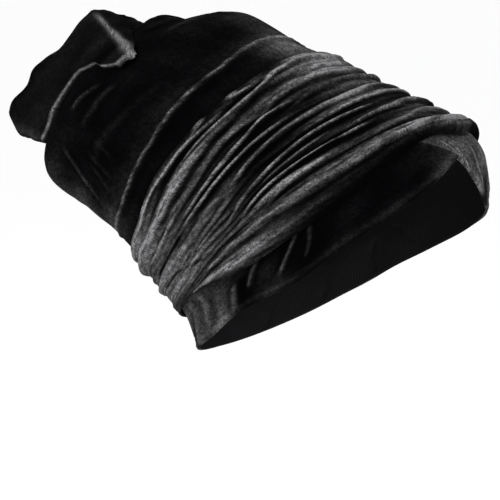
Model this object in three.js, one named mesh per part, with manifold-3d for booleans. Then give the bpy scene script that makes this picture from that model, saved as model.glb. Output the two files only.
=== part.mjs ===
/*
 * Turban headwrap of black stretch velvet, worn tilted back on the head.
 *
 * Frame: millimetres, +Z up.  The forehead faces -Y, the wearer's right is -X, and the
 * origin is the middle of the head opening at ear level, where the wrap sits on a head.
 *
 * The whole wrap is laid out on one form: a tilted, bent tube of oval sections.
 *   turn  is the angle round a section: 0 at the forehead, +90 at the wearer's right ear,
 *         180 at the nape and -90 at the left ear, in degrees.
 *   climb is the distance up the form from the head opening, about one millimetre a unit.
 * Each piece is a cloth wall, given by its edges and by its heights over that form.
 */
import * as THREE from 'three';
import Module from 'manifold-3d';

// ---- driving sizes -------------------------------------------------------------------
const CLOTH = 2; // wall of the cap: velvet with its turned-in seam allowance
const SASH_CLOTH = 2.2; // wall of the wound sash
const GAP = 0.5; // air left between neighbouring pieces
const SEAM_CLIMB = 52; // where the bands end and the crown bag starts, under the sash
const SQUARENESS = 2.2; // exponent of the oval sections: 2 is an ellipse
const FAR_SIDE_SHIFT = 1.1; // how far the left side's folds wander from the right side's
const VELVET_BLACK = 0x151416;
const VELVET_GREY = 0x39373b;
const VELVET_ROUGHNESS = 0.9;

/** Makes rows with named columns from a list of column names and rows of values. */
function table(columns, rows) {
  return rows.map((row) => Object.fromEntries(columns.map((name, i) => [name, row[i]])));
}

// The form: the front and back point of each section in the middle plane, and half its width.
const SECTIONS = table(
  ['climb', 'frontY', 'frontZ', 'backY', 'backZ', 'halfWidth'],
  [
    [-15, -106, 48, 94, -62, 82], // below the rim, at the nape
    [0, -107, 66, 98, -50, 84], // head opening
    [20, -104, 92, 104, -36, 86], // forehead peak
    [35, -94, 106, 111, -26, 88], // lowest turn of the sash
    [60, -59, 121, 128, -8, 89], // middle of the sash
    [90, -8, 141, 150, 13, 89], // upper edge of the sash
    [115, 42, 164, 176, 31, 86], // crown bag
    [145, 104, 178, 208, 48, 75], // crown bag leaning back
    [158, 132, 176, 221, 58, 66], // shoulder of the crown end
    [168, 152, 171, 226, 71, 55], // crown end
    [180, 170, 160, 226, 87, 41], // crown end closing in
    [190, 184, 149, 222, 103, 27], // crown end closing in
    [197, 195, 139, 215, 115, 13], // crown end nearly closed
    [200, 206, 127, 206, 127, 0], // tip of the crown end
  ],
);
const TIP_CLIMB = SECTIONS[SECTIONS.length - 1].climb;

// Stations round the head at which the sash's edges and folds are given.
const STATIONS = { front: 0, parting: 18, brow: 38, temple: 65, ear: 95, behindEar: 125, nape: 180 };
const STATION_NAMES = Object.keys(STATIONS);
const STATION_TURNS = Object.values(STATIONS);

// Climb of each edge of the two sash turns at each station.
const SASH_EDGES = table(
  ['edge', ...STATION_NAMES],
  [
    ['lowerTurnFoot', 33, 37, 33.5, 25, 21.5, 28.6, 28.6],
    ['turnsMeet', 45, 46.5, 46.6, 45, 41.3, 30.8, 27],
    ['upperTurnTop', 103, 102.5, 101, 99, 94.5, 84, 80],
  ],
);

// Climb of each fold's crest at each station, from the lowest fold up.
const FOLD_CRESTS = table(
  ['fold', ...STATION_NAMES],
  [
    ['loopFold', 53.5, 51, 48.7, 50, 43.8, 36.5, 34],
    ['shortFold', 57.5, 56.5, 55.5, 55.5, 46.3, 39.5, 37],
    ['browFold', 62, 60.4, 58.8, 58.7, 49, 42.5, 40],
    ['slimFold', 67, 66, 66, 62.3, 52, 45.5, 43.5],
    ['frontFold', 72.5, 71.5, 70.3, 66.8, 55.5, 48, 46.5],
    ['middleFold', 78, 76, 75, 71.5, 59, 51, 50],
    ['threadFold', 82, 81, 79.8, 77, 68, 57.5, 54],
    ['highFold', 86, 85.8, 85, 81, 71.5, 61, 58],
    ['crossFold', 91, 91.5, 90, 86.5, 77, 65, 62],
    ['broadFold', 96.5, 97, 96, 91.5, 83, 72.5, 69],
    ['topFold', 100.5, 100.6, 99.6, 97.3, 91.8, 81.5, 77.5],
  ],
);

// Height of each fold's crest over its valleys at each station.
const FOLD_HEIGHTS = table(
  ['fold', ...STATION_NAMES],
  [
    ['loopFold', 3.5, 3.5, 3.5, 4.5, 2.5, 1.2, 2],
    ['shortFold', 1, 1.5, 3.5, 4, 2, 0.8, 1],
    ['browFold', 5, 5, 3.5, 2, 0.8, 0.5, 1.5],
    ['slimFold', 2.5, 3, 4, 4.5, 3, 1, 1],
    ['frontFold', 4, 4, 3.5, 1.5, 0.6, 0.5, 1.5],
    ['middleFold', 4.5, 4.5, 5, 5, 4, 3, 3],
    ['threadFold', 1.5, 1.5, 2.5, 3.5, 3, 1.2, 1],
    ['highFold', 4.5, 4.5, 4, 4, 3, 1.5, 2],
    ['crossFold', 4.5, 4.5, 4.5, 3, 1, 0.8, 1],
    ['broadFold', 3, 3, 4, 5, 6, 5.5, 4],
    ['topFold', 3.5, 3.5, 3.5, 3.5, 3.5, 4, 3],
  ],
);

const VALLEY_HEIGHT = 0.3; // sash valleys over the cap, beyond the gap
const EDGE_HEIGHT = 0.9; // rise of the sash's free edges
const INNER_FOLD_SHARE = 0.85; // how far the sash's inner face follows each fold out
const UPPER_TURN = { firstValleyShare: 0.3, columns: 45 };

// The lowest turn: a fat roll at its foot and a sharper fold along its top.
const LOWER_TURN = { endTurn: 124, columns: 34, fullDepth: 12 };
const LOWER_TURN_LINES = table(
  ['line', 'share', 'height'],
  [
    ['foot', 0, 0],
    ['roll underside', 0.105, 3.96],
    ['roll crest', 0.42, 6],
    ['valley', 0.66, 2.2],
    ['fold crest', 0.86, 5],
    ['top', 1, 1.5],
  ],
);

// Rim of the right band, from the tip of the forehead peak to the nape.
const RIGHT_RIM = table(
  ['turn', 'climb'],
  [[12, 21.8], [24, 14.5], [36, 9.5], [50, 4.8], [65, 1.5], [83, -4], [105, -2.5], [125, -7], [180, -6]],
);
// Rim of the left band, from the nape to its end under the right band.
const LEFT_RIM = table(
  ['turn', 'climb'],
  [[-180, -6], [-135, -7], [-90, -5], [-50, -8], [-25, -7], [-10, 1], [0, 10], [12, 22.5], [34, 41]],
);
const CRUMPLE = { turn: 112, reach: 26, fade: 12, clear: 2, count: 13, height: 1.1 };
// The right band's front edge rises from its tip; the left band's end is tucked in under it.
const FLAP = { tipTurn: 12, tipClimb: 23.2, rise: 1.06, underlapTurn: 31, clearTurn: 36, flushTurn: 80 };
// Where the sash lifts to ride over that lap: from the left side in, and up to clear of the seam.
const SASH_OVER_FLAP = { startTurn: -20, fullTurn: 8, fadeClimb: 53, clearClimb: 76 };
const NAPE_SEAM_TURN = 0.12; // half the gap between the two bands at the nape, in degrees
// Columns of each band: closer together where the flap's edge curves.
const BAND_GRID = {
  rows: 5,
  sideColumns: 20,
  flapTurns: [12, 15, 19, 24, 30, 36],
  flapEnd: 42,
  underlapStart: -40,
  underlapTurns: [-30, -20, -12, -5, 2, 9, 16, 24],
};

// Soft rises (+) and dents (-) of the crown bag, mm high.
const CROWN_SWELLS = table(
  ['place', 'turn', 'climb', 'turnReach', 'climbReach', 'height'],
  [
    ['front top swell', -10, 138, 28, 12, 7],
    ['rear top swell', -12, 167, 24, 8, 9],
    ['dent between them', -12, 154, 30, 6, -3],
    ['swell over the nape', 125, 150, 28, 14, 6],
    ['dent by the nape', 118, 125, 18, 14, -2.5],
    ['left swell', -95, 140, 34, 20, 4],
    ['dent in the left side', -60, 118, 20, 12, -2.5],
  ],
);
// The single thin ridge that runs round the crown bag above the sash.
const CROWN_RIDGE = table(['edge', ...STATION_NAMES], [['ridge', 118, 117, 114.2, 112, 106, 99, 96]]);
const CROWN_RIDGE_SIZE = { height: 2.4, reach: 3.5 };
const SWELLS_OVER_SASH = { startClimb: 102, fullClimb: 114 }; // the swells begin above the sash
const CROWN_GRID = {
  turns: 36,
  underRidge: [0, 0.3, 0.6, 0.8, 1],
  overRidge: [0, 0.08, 0.22, 0.36, 0.5, 0.64, 0.76, 0.86, 0.93, 0.975],
};

// Corners of the top tuck: 'root' is inside the crown end, 'end' is its free end.
const TUCK_CORNERS = table(
  ['corner', 'x', 'y', 'z'],
  [
    ['rootNearTop', -73, 115, 159],
    ['rootNearFoot', -69, 200, 85],
    ['rootFarTop', 56, 150, 156],
    ['rootFarFoot', 58, 190, 90],
    ['endNearTop', -30, 179, 187],
    ['endNearFoot', -22, 281, 92],
    ['endFarTop', 33, 192, 176],
    ['endFarFoot', 29, 271, 95],
  ],
);
const TUCK = { squareness: 5, puff: 0.05, wallShare: 0.045, endWallShare: 0.04, ringTurns: 20, rings: 8 };
// Outline of the tuck's near end: how far out it reaches, from its foot (-1) to its top (1).
const TUCK_END = table(
  ['up', 'out'],
  [[-1, 0.55], [-0.87, 0.72], [-0.7, 1.06], [-0.5, 1.17], [-0.3, 1.13], [-0.1, 1.22], [0.1, 1.15],
    [0.3, 1.03], [0.5, 1.02], [0.7, 1.05], [0.85, 1.02], [1, 0.93]],
);
const TUCK_END_REACHES = [0.92, 0.7]; // rings that close the tuck's end, as shares of its section

// ---- interpolation -------------------------------------------------------------------
/** Monotone cubic through the knots; the ends are level when `levelEnds` is set. */
function smoothThrough(xs, ys, x, levelEnds = false) {
  const last = xs.length - 1;
  const steps = xs.slice(1).map((value, i) => value - xs[i]);
  const slopes = steps.map((step, i) => (ys[i + 1] - ys[i]) / step);
  const tangent = (i) => {
    if (i === 0 || i === last) return levelEnds ? 0 : slopes[i === 0 ? 0 : last - 1];
    if (slopes[i - 1] * slopes[i] <= 0) return 0;
    const before = 2 * steps[i] + steps[i - 1];
    const after = steps[i] + 2 * steps[i - 1];
    return (before + after) / (before / slopes[i - 1] + after / slopes[i]);
  };
  let k = 0;
  while (k < last - 1 && x > xs[k + 1]) k += 1;
  const t = (x - xs[k]) / steps[k];
  const t2 = t * t;
  const t3 = t2 * t;
  const start = (2 * t3 - 3 * t2 + 1) * ys[k] + (t3 - 2 * t2 + t) * steps[k] * tangent(k);
  const end = (3 * t2 - 2 * t3) * ys[k + 1] + (t3 - t2) * steps[k] * tangent(k + 1);
  return start + end;
}

const mix = (a, b, share) => a + (b - a) * share;
const smoothStep = (from, to, x) => THREE.MathUtils.smoothstep(x, from, to);
const bell = (x) => Math.exp(-x * x);
const radians = THREE.MathUtils.degToRad;

/** Value of a station row at a turn; the left side repeats the right with a small drift. */
function atTurn(row, turn, drift = 0) {
  const values = STATION_NAMES.map((name) => row[name]);
  const away = Math.min(Math.abs(turn), 180);
  const value = smoothThrough(STATION_TURNS, values, away, true);
  return turn < 0 ? value + drift * Math.sin(radians(away)) * Math.sin(radians(3 * away)) : value;
}

const rowOf = (rows, key, name) => rows.find((row) => row[key] === name);
const sashEdge = (name, turn) => atTurn(rowOf(SASH_EDGES, 'edge', name), turn);
const rimAt = (rim, turn) => smoothThrough(rim.map((r) => r.turn), rim.map((r) => r.climb), turn);

// ---- the form ------------------------------------------------------------------------
const SECTION_CLIMBS = SECTIONS.map((row) => row.climb);
const sectionSize = (name, climb) => smoothThrough(SECTION_CLIMBS, SECTIONS.map((row) => row[name]), climb);

/** Point of the form at a turn and a climb. */
function formPoint(turn, climb) {
  const angle = radians(turn);
  const cosine = Math.cos(angle);
  const sine = Math.sin(angle);
  const power = 1 / SQUARENESS;
  const stretch = (Math.abs(cosine) ** SQUARENESS + Math.abs(sine) ** SQUARENESS) ** -power;
  const front = new THREE.Vector3(0, sectionSize('frontY', climb), sectionSize('frontZ', climb));
  const back = new THREE.Vector3(0, sectionSize('backY', climb), sectionSize('backZ', climb));
  const point = front.clone().add(back).multiplyScalar(0.5);
  point.addScaledVector(front.sub(back), 0.5 * cosine * stretch);
  point.x = -sectionSize('halfWidth', climb) * sine * stretch;
  return point;
}

/** Outward unit normal of the form. */
function formNormal(turn, climb) {
  const step = 0.5;
  const low = Math.min(climb, TIP_CLIMB - 2 * step);
  const round = formPoint(turn - step, low).sub(formPoint(turn + step, low));
  const up = formPoint(turn, low + step).sub(formPoint(turn, low - step));
  return round.cross(up).normalize();
}

/** Point at a height over the form. */
const over = (turn, climb, height) => formPoint(turn, climb).addScaledVector(formNormal(turn, climb), height);

// ---- closed cloth walls --------------------------------------------------------------
/** Joins an outer and an inner grid of points into one closed, outward-facing wall. */
function closedWall(outer, inner, { ring, tip }) {
  const rows = outer.length;
  const columns = outer[0].length;
  const points = [...outer.flat(), ...inner.flat()];
  const faces = [];
  const outside = (i, j) => i * columns + (j % columns);
  const inside = (i, j) => rows * columns + outside(i, j);
  const quad = (a, b, c, d) => faces.push([a, b, c], [a, c, d]);
  const spans = ring ? columns : columns - 1;
  for (let i = 0; i < rows - 1; i += 1) {
    for (let j = 0; j < spans; j += 1) {
      quad(outside(i, j), outside(i, j + 1), outside(i + 1, j + 1), outside(i + 1, j));
      quad(inside(i, j), inside(i + 1, j), inside(i + 1, j + 1), inside(i, j + 1));
    }
  }
  for (let j = 0; j < spans; j += 1) {
    quad(outside(0, j + 1), outside(0, j), inside(0, j), inside(0, j + 1));
    if (!tip) {
      quad(outside(rows - 1, j), outside(rows - 1, j + 1), inside(rows - 1, j + 1), inside(rows - 1, j));
    }
  }
  if (!ring) {
    for (let i = 0; i < rows - 1; i += 1) {
      quad(outside(i, 0), outside(i + 1, 0), inside(i + 1, 0), inside(i, 0));
      const last = columns - 1;
      quad(outside(i + 1, last), outside(i, last), inside(i, last), inside(i + 1, last));
    }
  }
  if (tip) {
    for (const [corner, middle] of [[outside, tip.outer], [inside, tip.inner]]) {
      const index = points.push(middle) - 1;
      for (let j = 0; j < spans; j += 1) {
        const edge = [corner(rows - 1, j), corner(rows - 1, j + 1)];
        faces.push(corner === outside ? [edge[0], edge[1], index] : [edge[1], edge[0], index]);
      }
    }
  }
  return outwardGeometry(points, faces);
}

/** Builds an indexed geometry whose faces turn outward. */
function outwardGeometry(points, faces) {
  let volume = 0;
  for (const [a, b, c] of faces) {
    volume += points[a].dot(points[b].clone().cross(points[c]));
  }
  const turned = volume < 0 ? faces.map(([a, b, c]) => [a, c, b]) : faces;
  const geometry = new THREE.BufferGeometry();
  geometry.setAttribute('position', new THREE.Float32BufferAttribute(points.flatMap((p) => p.toArray()), 3));
  geometry.setIndex(turned.flat());
  geometry.computeVertexNormals();
  return geometry;
}

/** Evenly spaced values, both ends included. */
const spread = (from, to, count) => Array.from({ length: count + 1 }, (_, i) => mix(from, to, i / count));

/** One mesh with its own cloth material. */
function clothMesh(name, geometry, colour) {
  const velvet = { color: colour, roughness: VELVET_ROUGHNESS, metalness: 0 };
  const material = new THREE.MeshStandardMaterial(velvet);
  const mesh = new THREE.Mesh(geometry, material);
  mesh.name = name;
  return mesh;
}

// ---- cap bands -----------------------------------------------------------------------
/** How far the right band and what lies on it stand off to clear the left band's end. */
const flapLift = (turn) => (CLOTH + GAP) * (1 - smoothStep(FLAP.clearTurn, FLAP.flushTurn, turn));

/** Slow crumples of the band by the ear and the nape, dying out before the sash. */
function bandCrumple(turn, climb) {
  const foot = sashEdge('lowerTurnFoot', turn);
  const place = bell((Math.abs(turn) - CRUMPLE.turn) / CRUMPLE.reach);
  const clear = 1 - smoothStep(foot - CRUMPLE.fade, foot - CRUMPLE.clear, climb);
  return CRUMPLE.height * Math.sin(radians(turn * CRUMPLE.count)) * place * clear;
}

/** A band between its rim and its top edge, over a range of turns. */
function bandGeometry(turns, rim, topEdge, lift) {
  const shares = spread(0, 1, BAND_GRID.rows);
  const gridAt = (depth) => shares.map((share) => turns.map((turn) => {
    const climb = mix(rimAt(rim, turn), topEdge(turn), share);
    return over(turn, climb, lift(turn) + bandCrumple(turn, climb) - depth);
  }));
  return closedWall(gridAt(0), gridAt(CLOTH), { ring: false });
}

function rightBand() {
  const sideTurns = spread(BAND_GRID.flapEnd, 180 - NAPE_SEAM_TURN, BAND_GRID.sideColumns);
  const turns = [...BAND_GRID.flapTurns, ...sideTurns];
  const top = (turn) => Math.min(SEAM_CLIMB - GAP, FLAP.tipClimb + (turn - FLAP.tipTurn) * FLAP.rise);
  return bandGeometry(turns, RIGHT_RIM, top, flapLift);
}

function leftBand() {
  const sideTurns = spread(-180 + NAPE_SEAM_TURN, BAND_GRID.underlapStart, BAND_GRID.sideColumns);
  const turns = [...sideTurns, ...BAND_GRID.underlapTurns, FLAP.underlapTurn];
  return bandGeometry(turns, LEFT_RIM, () => SEAM_CLIMB - GAP, () => 0);
}

// ---- crown bag -----------------------------------------------------------------------
/** Height of the crown bag's swells, dents and thin ridge over the form. */
function crownRelief(turn, climb) {
  const clear = smoothStep(SWELLS_OVER_SASH.startClimb, SWELLS_OVER_SASH.fullClimb, climb);
  let height = 0;
  for (const swell of CROWN_SWELLS) {
    const away = THREE.MathUtils.euclideanModulo(turn - swell.turn + 180, 360) - 180;
    height += swell.height * bell(away / swell.turnReach) * bell((climb - swell.climb) / swell.climbReach);
  }
  const ridge = (climb - atTurn(CROWN_RIDGE[0], turn)) / CROWN_RIDGE_SIZE.reach;
  return height * clear + CROWN_RIDGE_SIZE.height * bell(ridge);
}

/** Rings of the crown bag at a height over its form, from its seam to just short of its tip. */
function crownRings(height) {
  const turns = spread(-180, 180, CROWN_GRID.turns).slice(0, -1);
  const ridgeAt = (turn) => atTurn(CROWN_RIDGE[0], turn);
  const ring = (climbAt) => turns.map((turn) => {
    const climb = climbAt(turn);
    return over(turn, climb, crownRelief(turn, climb) + height);
  });
  return [
    ...CROWN_GRID.underRidge.map((share) => {
      return ring((t) => mix(SEAM_CLIMB, ridgeAt(t) - CROWN_RIDGE_SIZE.reach, share));
    }),
    ...CROWN_GRID.overRidge.map((share) => ring((t) => mix(ridgeAt(t), TIP_CLIMB, share))),
  ];
}

function crownBag() {
  const tip = { outer: over(0, TIP_CLIMB, 0), inner: over(0, TIP_CLIMB, -CLOTH) };
  return closedWall(crownRings(0), crownRings(-CLOTH), { ring: true, tip });
}

// ---- sash ----------------------------------------------------------------------------
/** The sash rides over the flap that laps at the forehead. */
function sashLift(turn, climb) {
  const beside = smoothStep(SASH_OVER_FLAP.startTurn, SASH_OVER_FLAP.fullTurn, turn);
  const below = 1 - smoothStep(SASH_OVER_FLAP.fadeClimb, SASH_OVER_FLAP.clearClimb, climb);
  return GAP + flapLift(turn) * beside * below;
}

/** Lines of the upper turn from its foot to its top: edges, crests and the valleys between. */
function upperTurnLines(turn) {
  const foot = sashEdge('turnsMeet', turn);
  const top = sashEdge('upperTurnTop', turn);
  const crests = FOLD_CRESTS.map((row, i) => ({
    climb: atTurn(row, turn, FAR_SIDE_SHIFT),
    height: atTurn(FOLD_HEIGHTS[i], turn),
  }));
  const lines = [{ climb: foot, height: EDGE_HEIGHT }];
  crests.forEach((crest, i) => {
    const below = i === 0 ? foot : crests[i - 1].climb;
    const share = i === 0 ? UPPER_TURN.firstValleyShare : 0.5;
    lines.push({ climb: mix(below, crest.climb, share), height: VALLEY_HEIGHT });
    lines.push(crest);
  });
  lines.push({ climb: top, height: EDGE_HEIGHT });
  return lines;
}

/** Lines of the lower turn from its foot to its top: a fat roll, then a sharper fold. */
function lowerTurnLines(turn) {
  const foot = sashEdge('lowerTurnFoot', turn);
  const top = sashEdge('turnsMeet', turn) - GAP;
  const fullness = smoothStep(0, LOWER_TURN.fullDepth, top - foot);
  return LOWER_TURN_LINES.map(({ share, height }) => {
    return { climb: mix(foot, top, share), height: height * fullness };
  });
}

/** Wall of a sash turn from its lines at each turn angle. */
function sashGeometry(turns, linesAt, ring) {
  const lines = turns.map(linesAt);
  const gridAt = (depth, share) => lines[0].map((_, i) => turns.map((turn, j) => {
    const { climb, height } = lines[j][i];
    return over(turn, climb, sashLift(turn, climb) + SASH_CLOTH - depth + height * share);
  }));
  return closedWall(gridAt(0, 1), gridAt(SASH_CLOTH, INNER_FOLD_SHARE), { ring });
}

const upperTurn = () => {
  const turns = spread(-180, 180, UPPER_TURN.columns).slice(0, -1);
  return sashGeometry(turns, upperTurnLines, true);
};

const lowerTurn = () => sashGeometry(
  spread(-LOWER_TURN.endTurn, LOWER_TURN.endTurn, LOWER_TURN.columns),
  lowerTurnLines,
  false,
);

// ---- top tuck ------------------------------------------------------------------------
/** Point of the tuck: `across` -1 near to 1 far, `up` -1 foot to 1 top, `out` 0 root to 1 end. */
function tuckPoint(across, up, out) {
  const corner = (name) => {
    const row = rowOf(TUCK_CORNERS, 'corner', name);
    return new THREE.Vector3(row.x, row.y, row.z);
  };
  const share = (across + 1) / 2;
  const level = (end, height) => corner(`${end}Near${height}`).lerp(corner(`${end}Far${height}`), share);
  const face = (end) => level(end, 'Foot').lerp(level(end, 'Top'), (up + 1) / 2);
  const height = Math.min(Math.max(up, -1), 1);
  const nearEnd = smoothThrough(TUCK_END.map((r) => r.up), TUCK_END.map((r) => r.out), height);
  const stretch = (nearEnd - 1) * Math.min(Math.max((1 - across) / 2, 0), 1);
  return face('root').lerp(face('end'), out + stretch * out * out);
}

/** Rings of the tuck's skin; `inset` shrinks it to make the inner face. */
function tuckRings(inset) {
  const rings = [];
  const turns = spread(0, 360, TUCK.ringTurns).slice(0, -1);
  const outs = [
    ...spread(0, 1, TUCK.rings).map((out) => ({ out, reach: 1 })),
    ...TUCK_END_REACHES.map((reach) => ({ out: 1, reach })),
  ];
  outs.forEach(({ out, reach }) => {
    rings.push(turns.map((turn) => {
      const angle = radians(turn);
      const power = TUCK.squareness;
      const [cosine, sine] = [Math.abs(Math.cos(angle)), Math.abs(Math.sin(angle))];
      const stretch = (cosine ** power + sine ** power) ** (-1 / power);
      const across = Math.cos(angle) * stretch * reach * (1 - inset * TUCK.wallShare);
      const up = Math.sin(angle) * stretch * reach * (1 - inset * TUCK.wallShare);
      const bulge = TUCK.puff * (1 - reach ** 4);
      return tuckPoint(across, up, out * (1 - inset * TUCK.endWallShare) + bulge);
    }));
  });
  return rings;
}

/** Manifold solid of a closed geometry. */
function toManifold(wasm, geometry) {
  const vertProperties = new Float32Array(geometry.attributes.position.array);
  const triVerts = new Uint32Array(geometry.index.array);
  return new wasm.Manifold(new wasm.Mesh({ numProp: 3, vertProperties, triVerts }));
}

/** The crown bag's outside with a gap's clearance, as a solid block to cut the tuck with. */
function crownBlock() {
  const rings = crownRings(GAP);
  const points = rings.flat();
  const count = rings[0].length;
  const lastRing = points.length - count;
  const foot = points.push(formPoint(0, SEAM_CLIMB).lerp(formPoint(180, SEAM_CLIMB), 0.5)) - 1;
  const tip = points.push(over(0, TIP_CLIMB, GAP)) - 1;
  const faces = [];
  for (let j = 0; j < count; j += 1) {
    const next = (j + 1) % count;
    faces.push([foot, next, j], [tip, lastRing + j, lastRing + next]);
    for (let low = 0; low < lastRing; low += count) {
      const high = low + count;
      faces.push([low + j, low + next, high + next], [low + j, high + next, high + j]);
    }
  }
  return outwardGeometry(points, faces);
}

/** The tuck: a squared, hollow fold of cloth whose open root is cut to sit on the crown end. */
async function topTuck() {
  const wasm = await Module();
  wasm.setup();
  const outer = tuckRings(0);
  const inner = tuckRings(1);
  const skin = closedWall(outer, inner, {
    ring: true,
    tip: {
      outer: tuckPoint(0, 0, 1 + TUCK.puff),
      inner: tuckPoint(0, 0, 1 - TUCK.endWallShare + TUCK.puff),
    },
  });
  const cut = toManifold(wasm, skin).subtract(toManifold(wasm, crownBlock()));
  const mesh = cut.getMesh();
  const geometry = new THREE.BufferGeometry();
  const places = new Float32Array(mesh.vertProperties);
  geometry.setAttribute('position', new THREE.BufferAttribute(places, mesh.numProp));
  geometry.setIndex([...mesh.triVerts]);
  geometry.computeVertexNormals();
  return geometry;
}

// ---- the assembly --------------------------------------------------------------------
const group = new THREE.Group();
group.add(clothMesh('band_right', rightBand(), VELVET_BLACK));
group.add(clothMesh('band_left', leftBand(), VELVET_BLACK));
group.add(clothMesh('crown_bag', crownBag(), VELVET_BLACK));
group.add(clothMesh('sash_lower_turn', lowerTurn(), VELVET_GREY));
group.add(clothMesh('sash_upper_turn', upperTurn(), VELVET_GREY));
group.add(clothMesh('top_tuck', await topTuck(), VELVET_BLACK));

export default group;
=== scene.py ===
"""Turban headwrap of black stretch velvet: its cloth, its light and its camera.

Everything is in metres in the shared frame: +Z up, the forehead faces -Y, the wearer's right
is -X, and the origin is the middle of the head opening at ear level.

The wrap is laid out on one form, a tilted, bent tube of oval sections. ``turn`` is the angle
round a section in degrees (0 forehead, +90 the wearer's right ear, 180 nape, -90 left ear) and
``climb`` is the distance up the form from the head opening, about one millimetre a unit.
Sizes in the tables are millimetres; they become metres when a mesh is made.
"""
import logging
import math
from dataclasses import dataclass, field
from enum import Enum
from typing import Any

import bmesh
import bpy
import numpy as np
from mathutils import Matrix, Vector
from numpy.typing import NDArray


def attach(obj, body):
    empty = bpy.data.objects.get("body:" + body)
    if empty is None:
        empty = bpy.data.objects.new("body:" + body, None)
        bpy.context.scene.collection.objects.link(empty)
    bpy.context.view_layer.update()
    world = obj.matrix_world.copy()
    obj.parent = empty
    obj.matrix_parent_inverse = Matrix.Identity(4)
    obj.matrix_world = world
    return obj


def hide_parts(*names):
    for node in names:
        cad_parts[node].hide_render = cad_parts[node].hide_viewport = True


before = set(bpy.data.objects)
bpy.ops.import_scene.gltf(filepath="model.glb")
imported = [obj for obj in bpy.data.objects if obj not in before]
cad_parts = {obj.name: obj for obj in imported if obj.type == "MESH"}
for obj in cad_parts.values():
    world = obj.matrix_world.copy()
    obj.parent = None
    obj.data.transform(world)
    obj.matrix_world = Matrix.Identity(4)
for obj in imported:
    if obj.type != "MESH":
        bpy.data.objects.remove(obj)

Array = NDArray[np.float64]
Colour = tuple[float, float, float]
log = logging.getLogger("headwrap")

MM = 0.001
# Point layer of painted light: painted sheen, painted highlights on ridges and edges and painted shade in
# valleys, with random pile tone mixed in.
PAINTED_LIGHT_LAYER = "painted_light_and_pile_tone"
CLOTH_MAP = "cloth"

# Walls and gaps, as the frame has them.
CLOTH = 2.0
SASH_CLOTH = 2.2
GAP = 0.5
SEAM_CLIMB = 52.0
FAR_SIDE_SHIFT = 1.1
DEGREE_MM = 1.55  # length of one degree of turn along the cloth, on average
EDGE_ROWS = 4  # rows of points that round one edge of a wall over
INNER_FOLD_SHARE = 0.85  # how far the back of the sash follows each fold out


# ---- curves and small functions --------------------------------------------------------------
def mix(low: Any, high: Any, share: Any) -> Any:
    """Returns low + (high - low) * share."""
    return low + (high - low) * share


def smooth_step(low: Any, high: Any, x: Any) -> Any:
    """Returns 3t^2 - 2t^3 for t = (x - low) / (high - low), kept between 0 and 1."""
    t = np.clip((x - low) / (high - low), 0.0, 1.0)
    return t * t * (3.0 - 2.0 * t)


def bell(x: Any) -> Any:
    """Returns e to the power of minus x squared."""
    return np.exp(-np.square(x))


def apart(turn: Array, centre: float) -> Array:
    """Returns the signed way round from a centre to each turn, from -180 to 180 degrees."""
    return np.mod(turn - centre + 180.0, 360.0) - 180.0


class MonotoneCurve:
    """A smooth curve through knots that never overshoots them (a monotone cubic)."""

    def __init__(self, xs: Any, ys: Any, level_ends: bool = False) -> None:
        """Works out the slope at each knot: the weighted harmonic mean of the two beside it.

        Args:
            xs: Rising positions of the knots.
            ys: Heights of the knots.
            level_ends: Whether the curve is level at its two ends.
        """
        self.xs = np.asarray(xs, float)
        self.ys = np.asarray(ys, float)
        self.steps = np.diff(self.xs)
        rise = np.diff(self.ys) / self.steps
        self.slopes = np.zeros_like(self.xs)
        if not level_ends:
            self.slopes[0], self.slopes[-1] = rise[0], rise[-1]
        same_way = rise[:-1] * rise[1:] > 0
        before = 2 * self.steps[1:] + self.steps[:-1]
        after = self.steps[1:] + 2 * self.steps[:-1]
        safe = np.where(rise == 0, 1.0, rise)
        mean = (before + after) / (before / safe[:-1] + after / safe[1:])
        self.slopes[1:-1] = np.where(same_way, mean, 0.0)

    def __call__(self, x: Any) -> Array:
        """Returns the cubic through the two knots around each x, with their slopes."""
        x = np.asarray(x, float)
        k = np.clip(np.searchsorted(self.xs, x, side="left") - 1, 0, len(self.steps) - 1)
        step = self.steps[k]
        t = (x - self.xs[k]) / step
        t2, t3 = t * t, t * t * t
        start = (2 * t3 - 3 * t2 + 1) * self.ys[k] + (t3 - 2 * t2 + t) * step * self.slopes[k]
        end = (3 * t2 - 2 * t3) * self.ys[k + 1] + (t3 - t2) * step * self.slopes[k + 1]
        return start + end


@dataclass(frozen=True)
class Wander:
    """Slow seeded unevenness of hand-laid cloth: a sum of waves in turn and climb.

    Attributes:
        seed: Start of the random phases.
        round_waves: Fewest and most whole waves round the form.
        climb_waves: Fewest and most waves in 100 mm of climb.
        terms: Number of waves added.
    """

    seed: int
    round_waves: tuple[int, int]
    climb_waves: tuple[float, float] = (0.0, 0.0)
    terms: int = 14

    def __call__(self, turn: Array, climb: Any = 0.0) -> Array:
        """Returns the sum of cos(k turn + m climb + phase), scaled to about -1 to 1."""
        rng = np.random.default_rng(self.seed)
        low, high = self.round_waves
        k = rng.integers(low, high + 1, self.terms) * rng.choice((-1, 1), self.terms)
        m = rng.uniform(*self.climb_waves, self.terms) * 2 * math.pi / 100.0
        phase = rng.uniform(0, 2 * math.pi, self.terms)
        total = sum(
            np.cos(np.radians(turn) * k[i] + climb * m[i] + phase[i]) for i in range(self.terms)
        )
        return total / math.sqrt(self.terms)


# ---- stations, creases and swells ------------------------------------------------------------
STATION_TURNS = (0.0, 18.0, 38.0, 65.0, 95.0, 125.0, 180.0)


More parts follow.
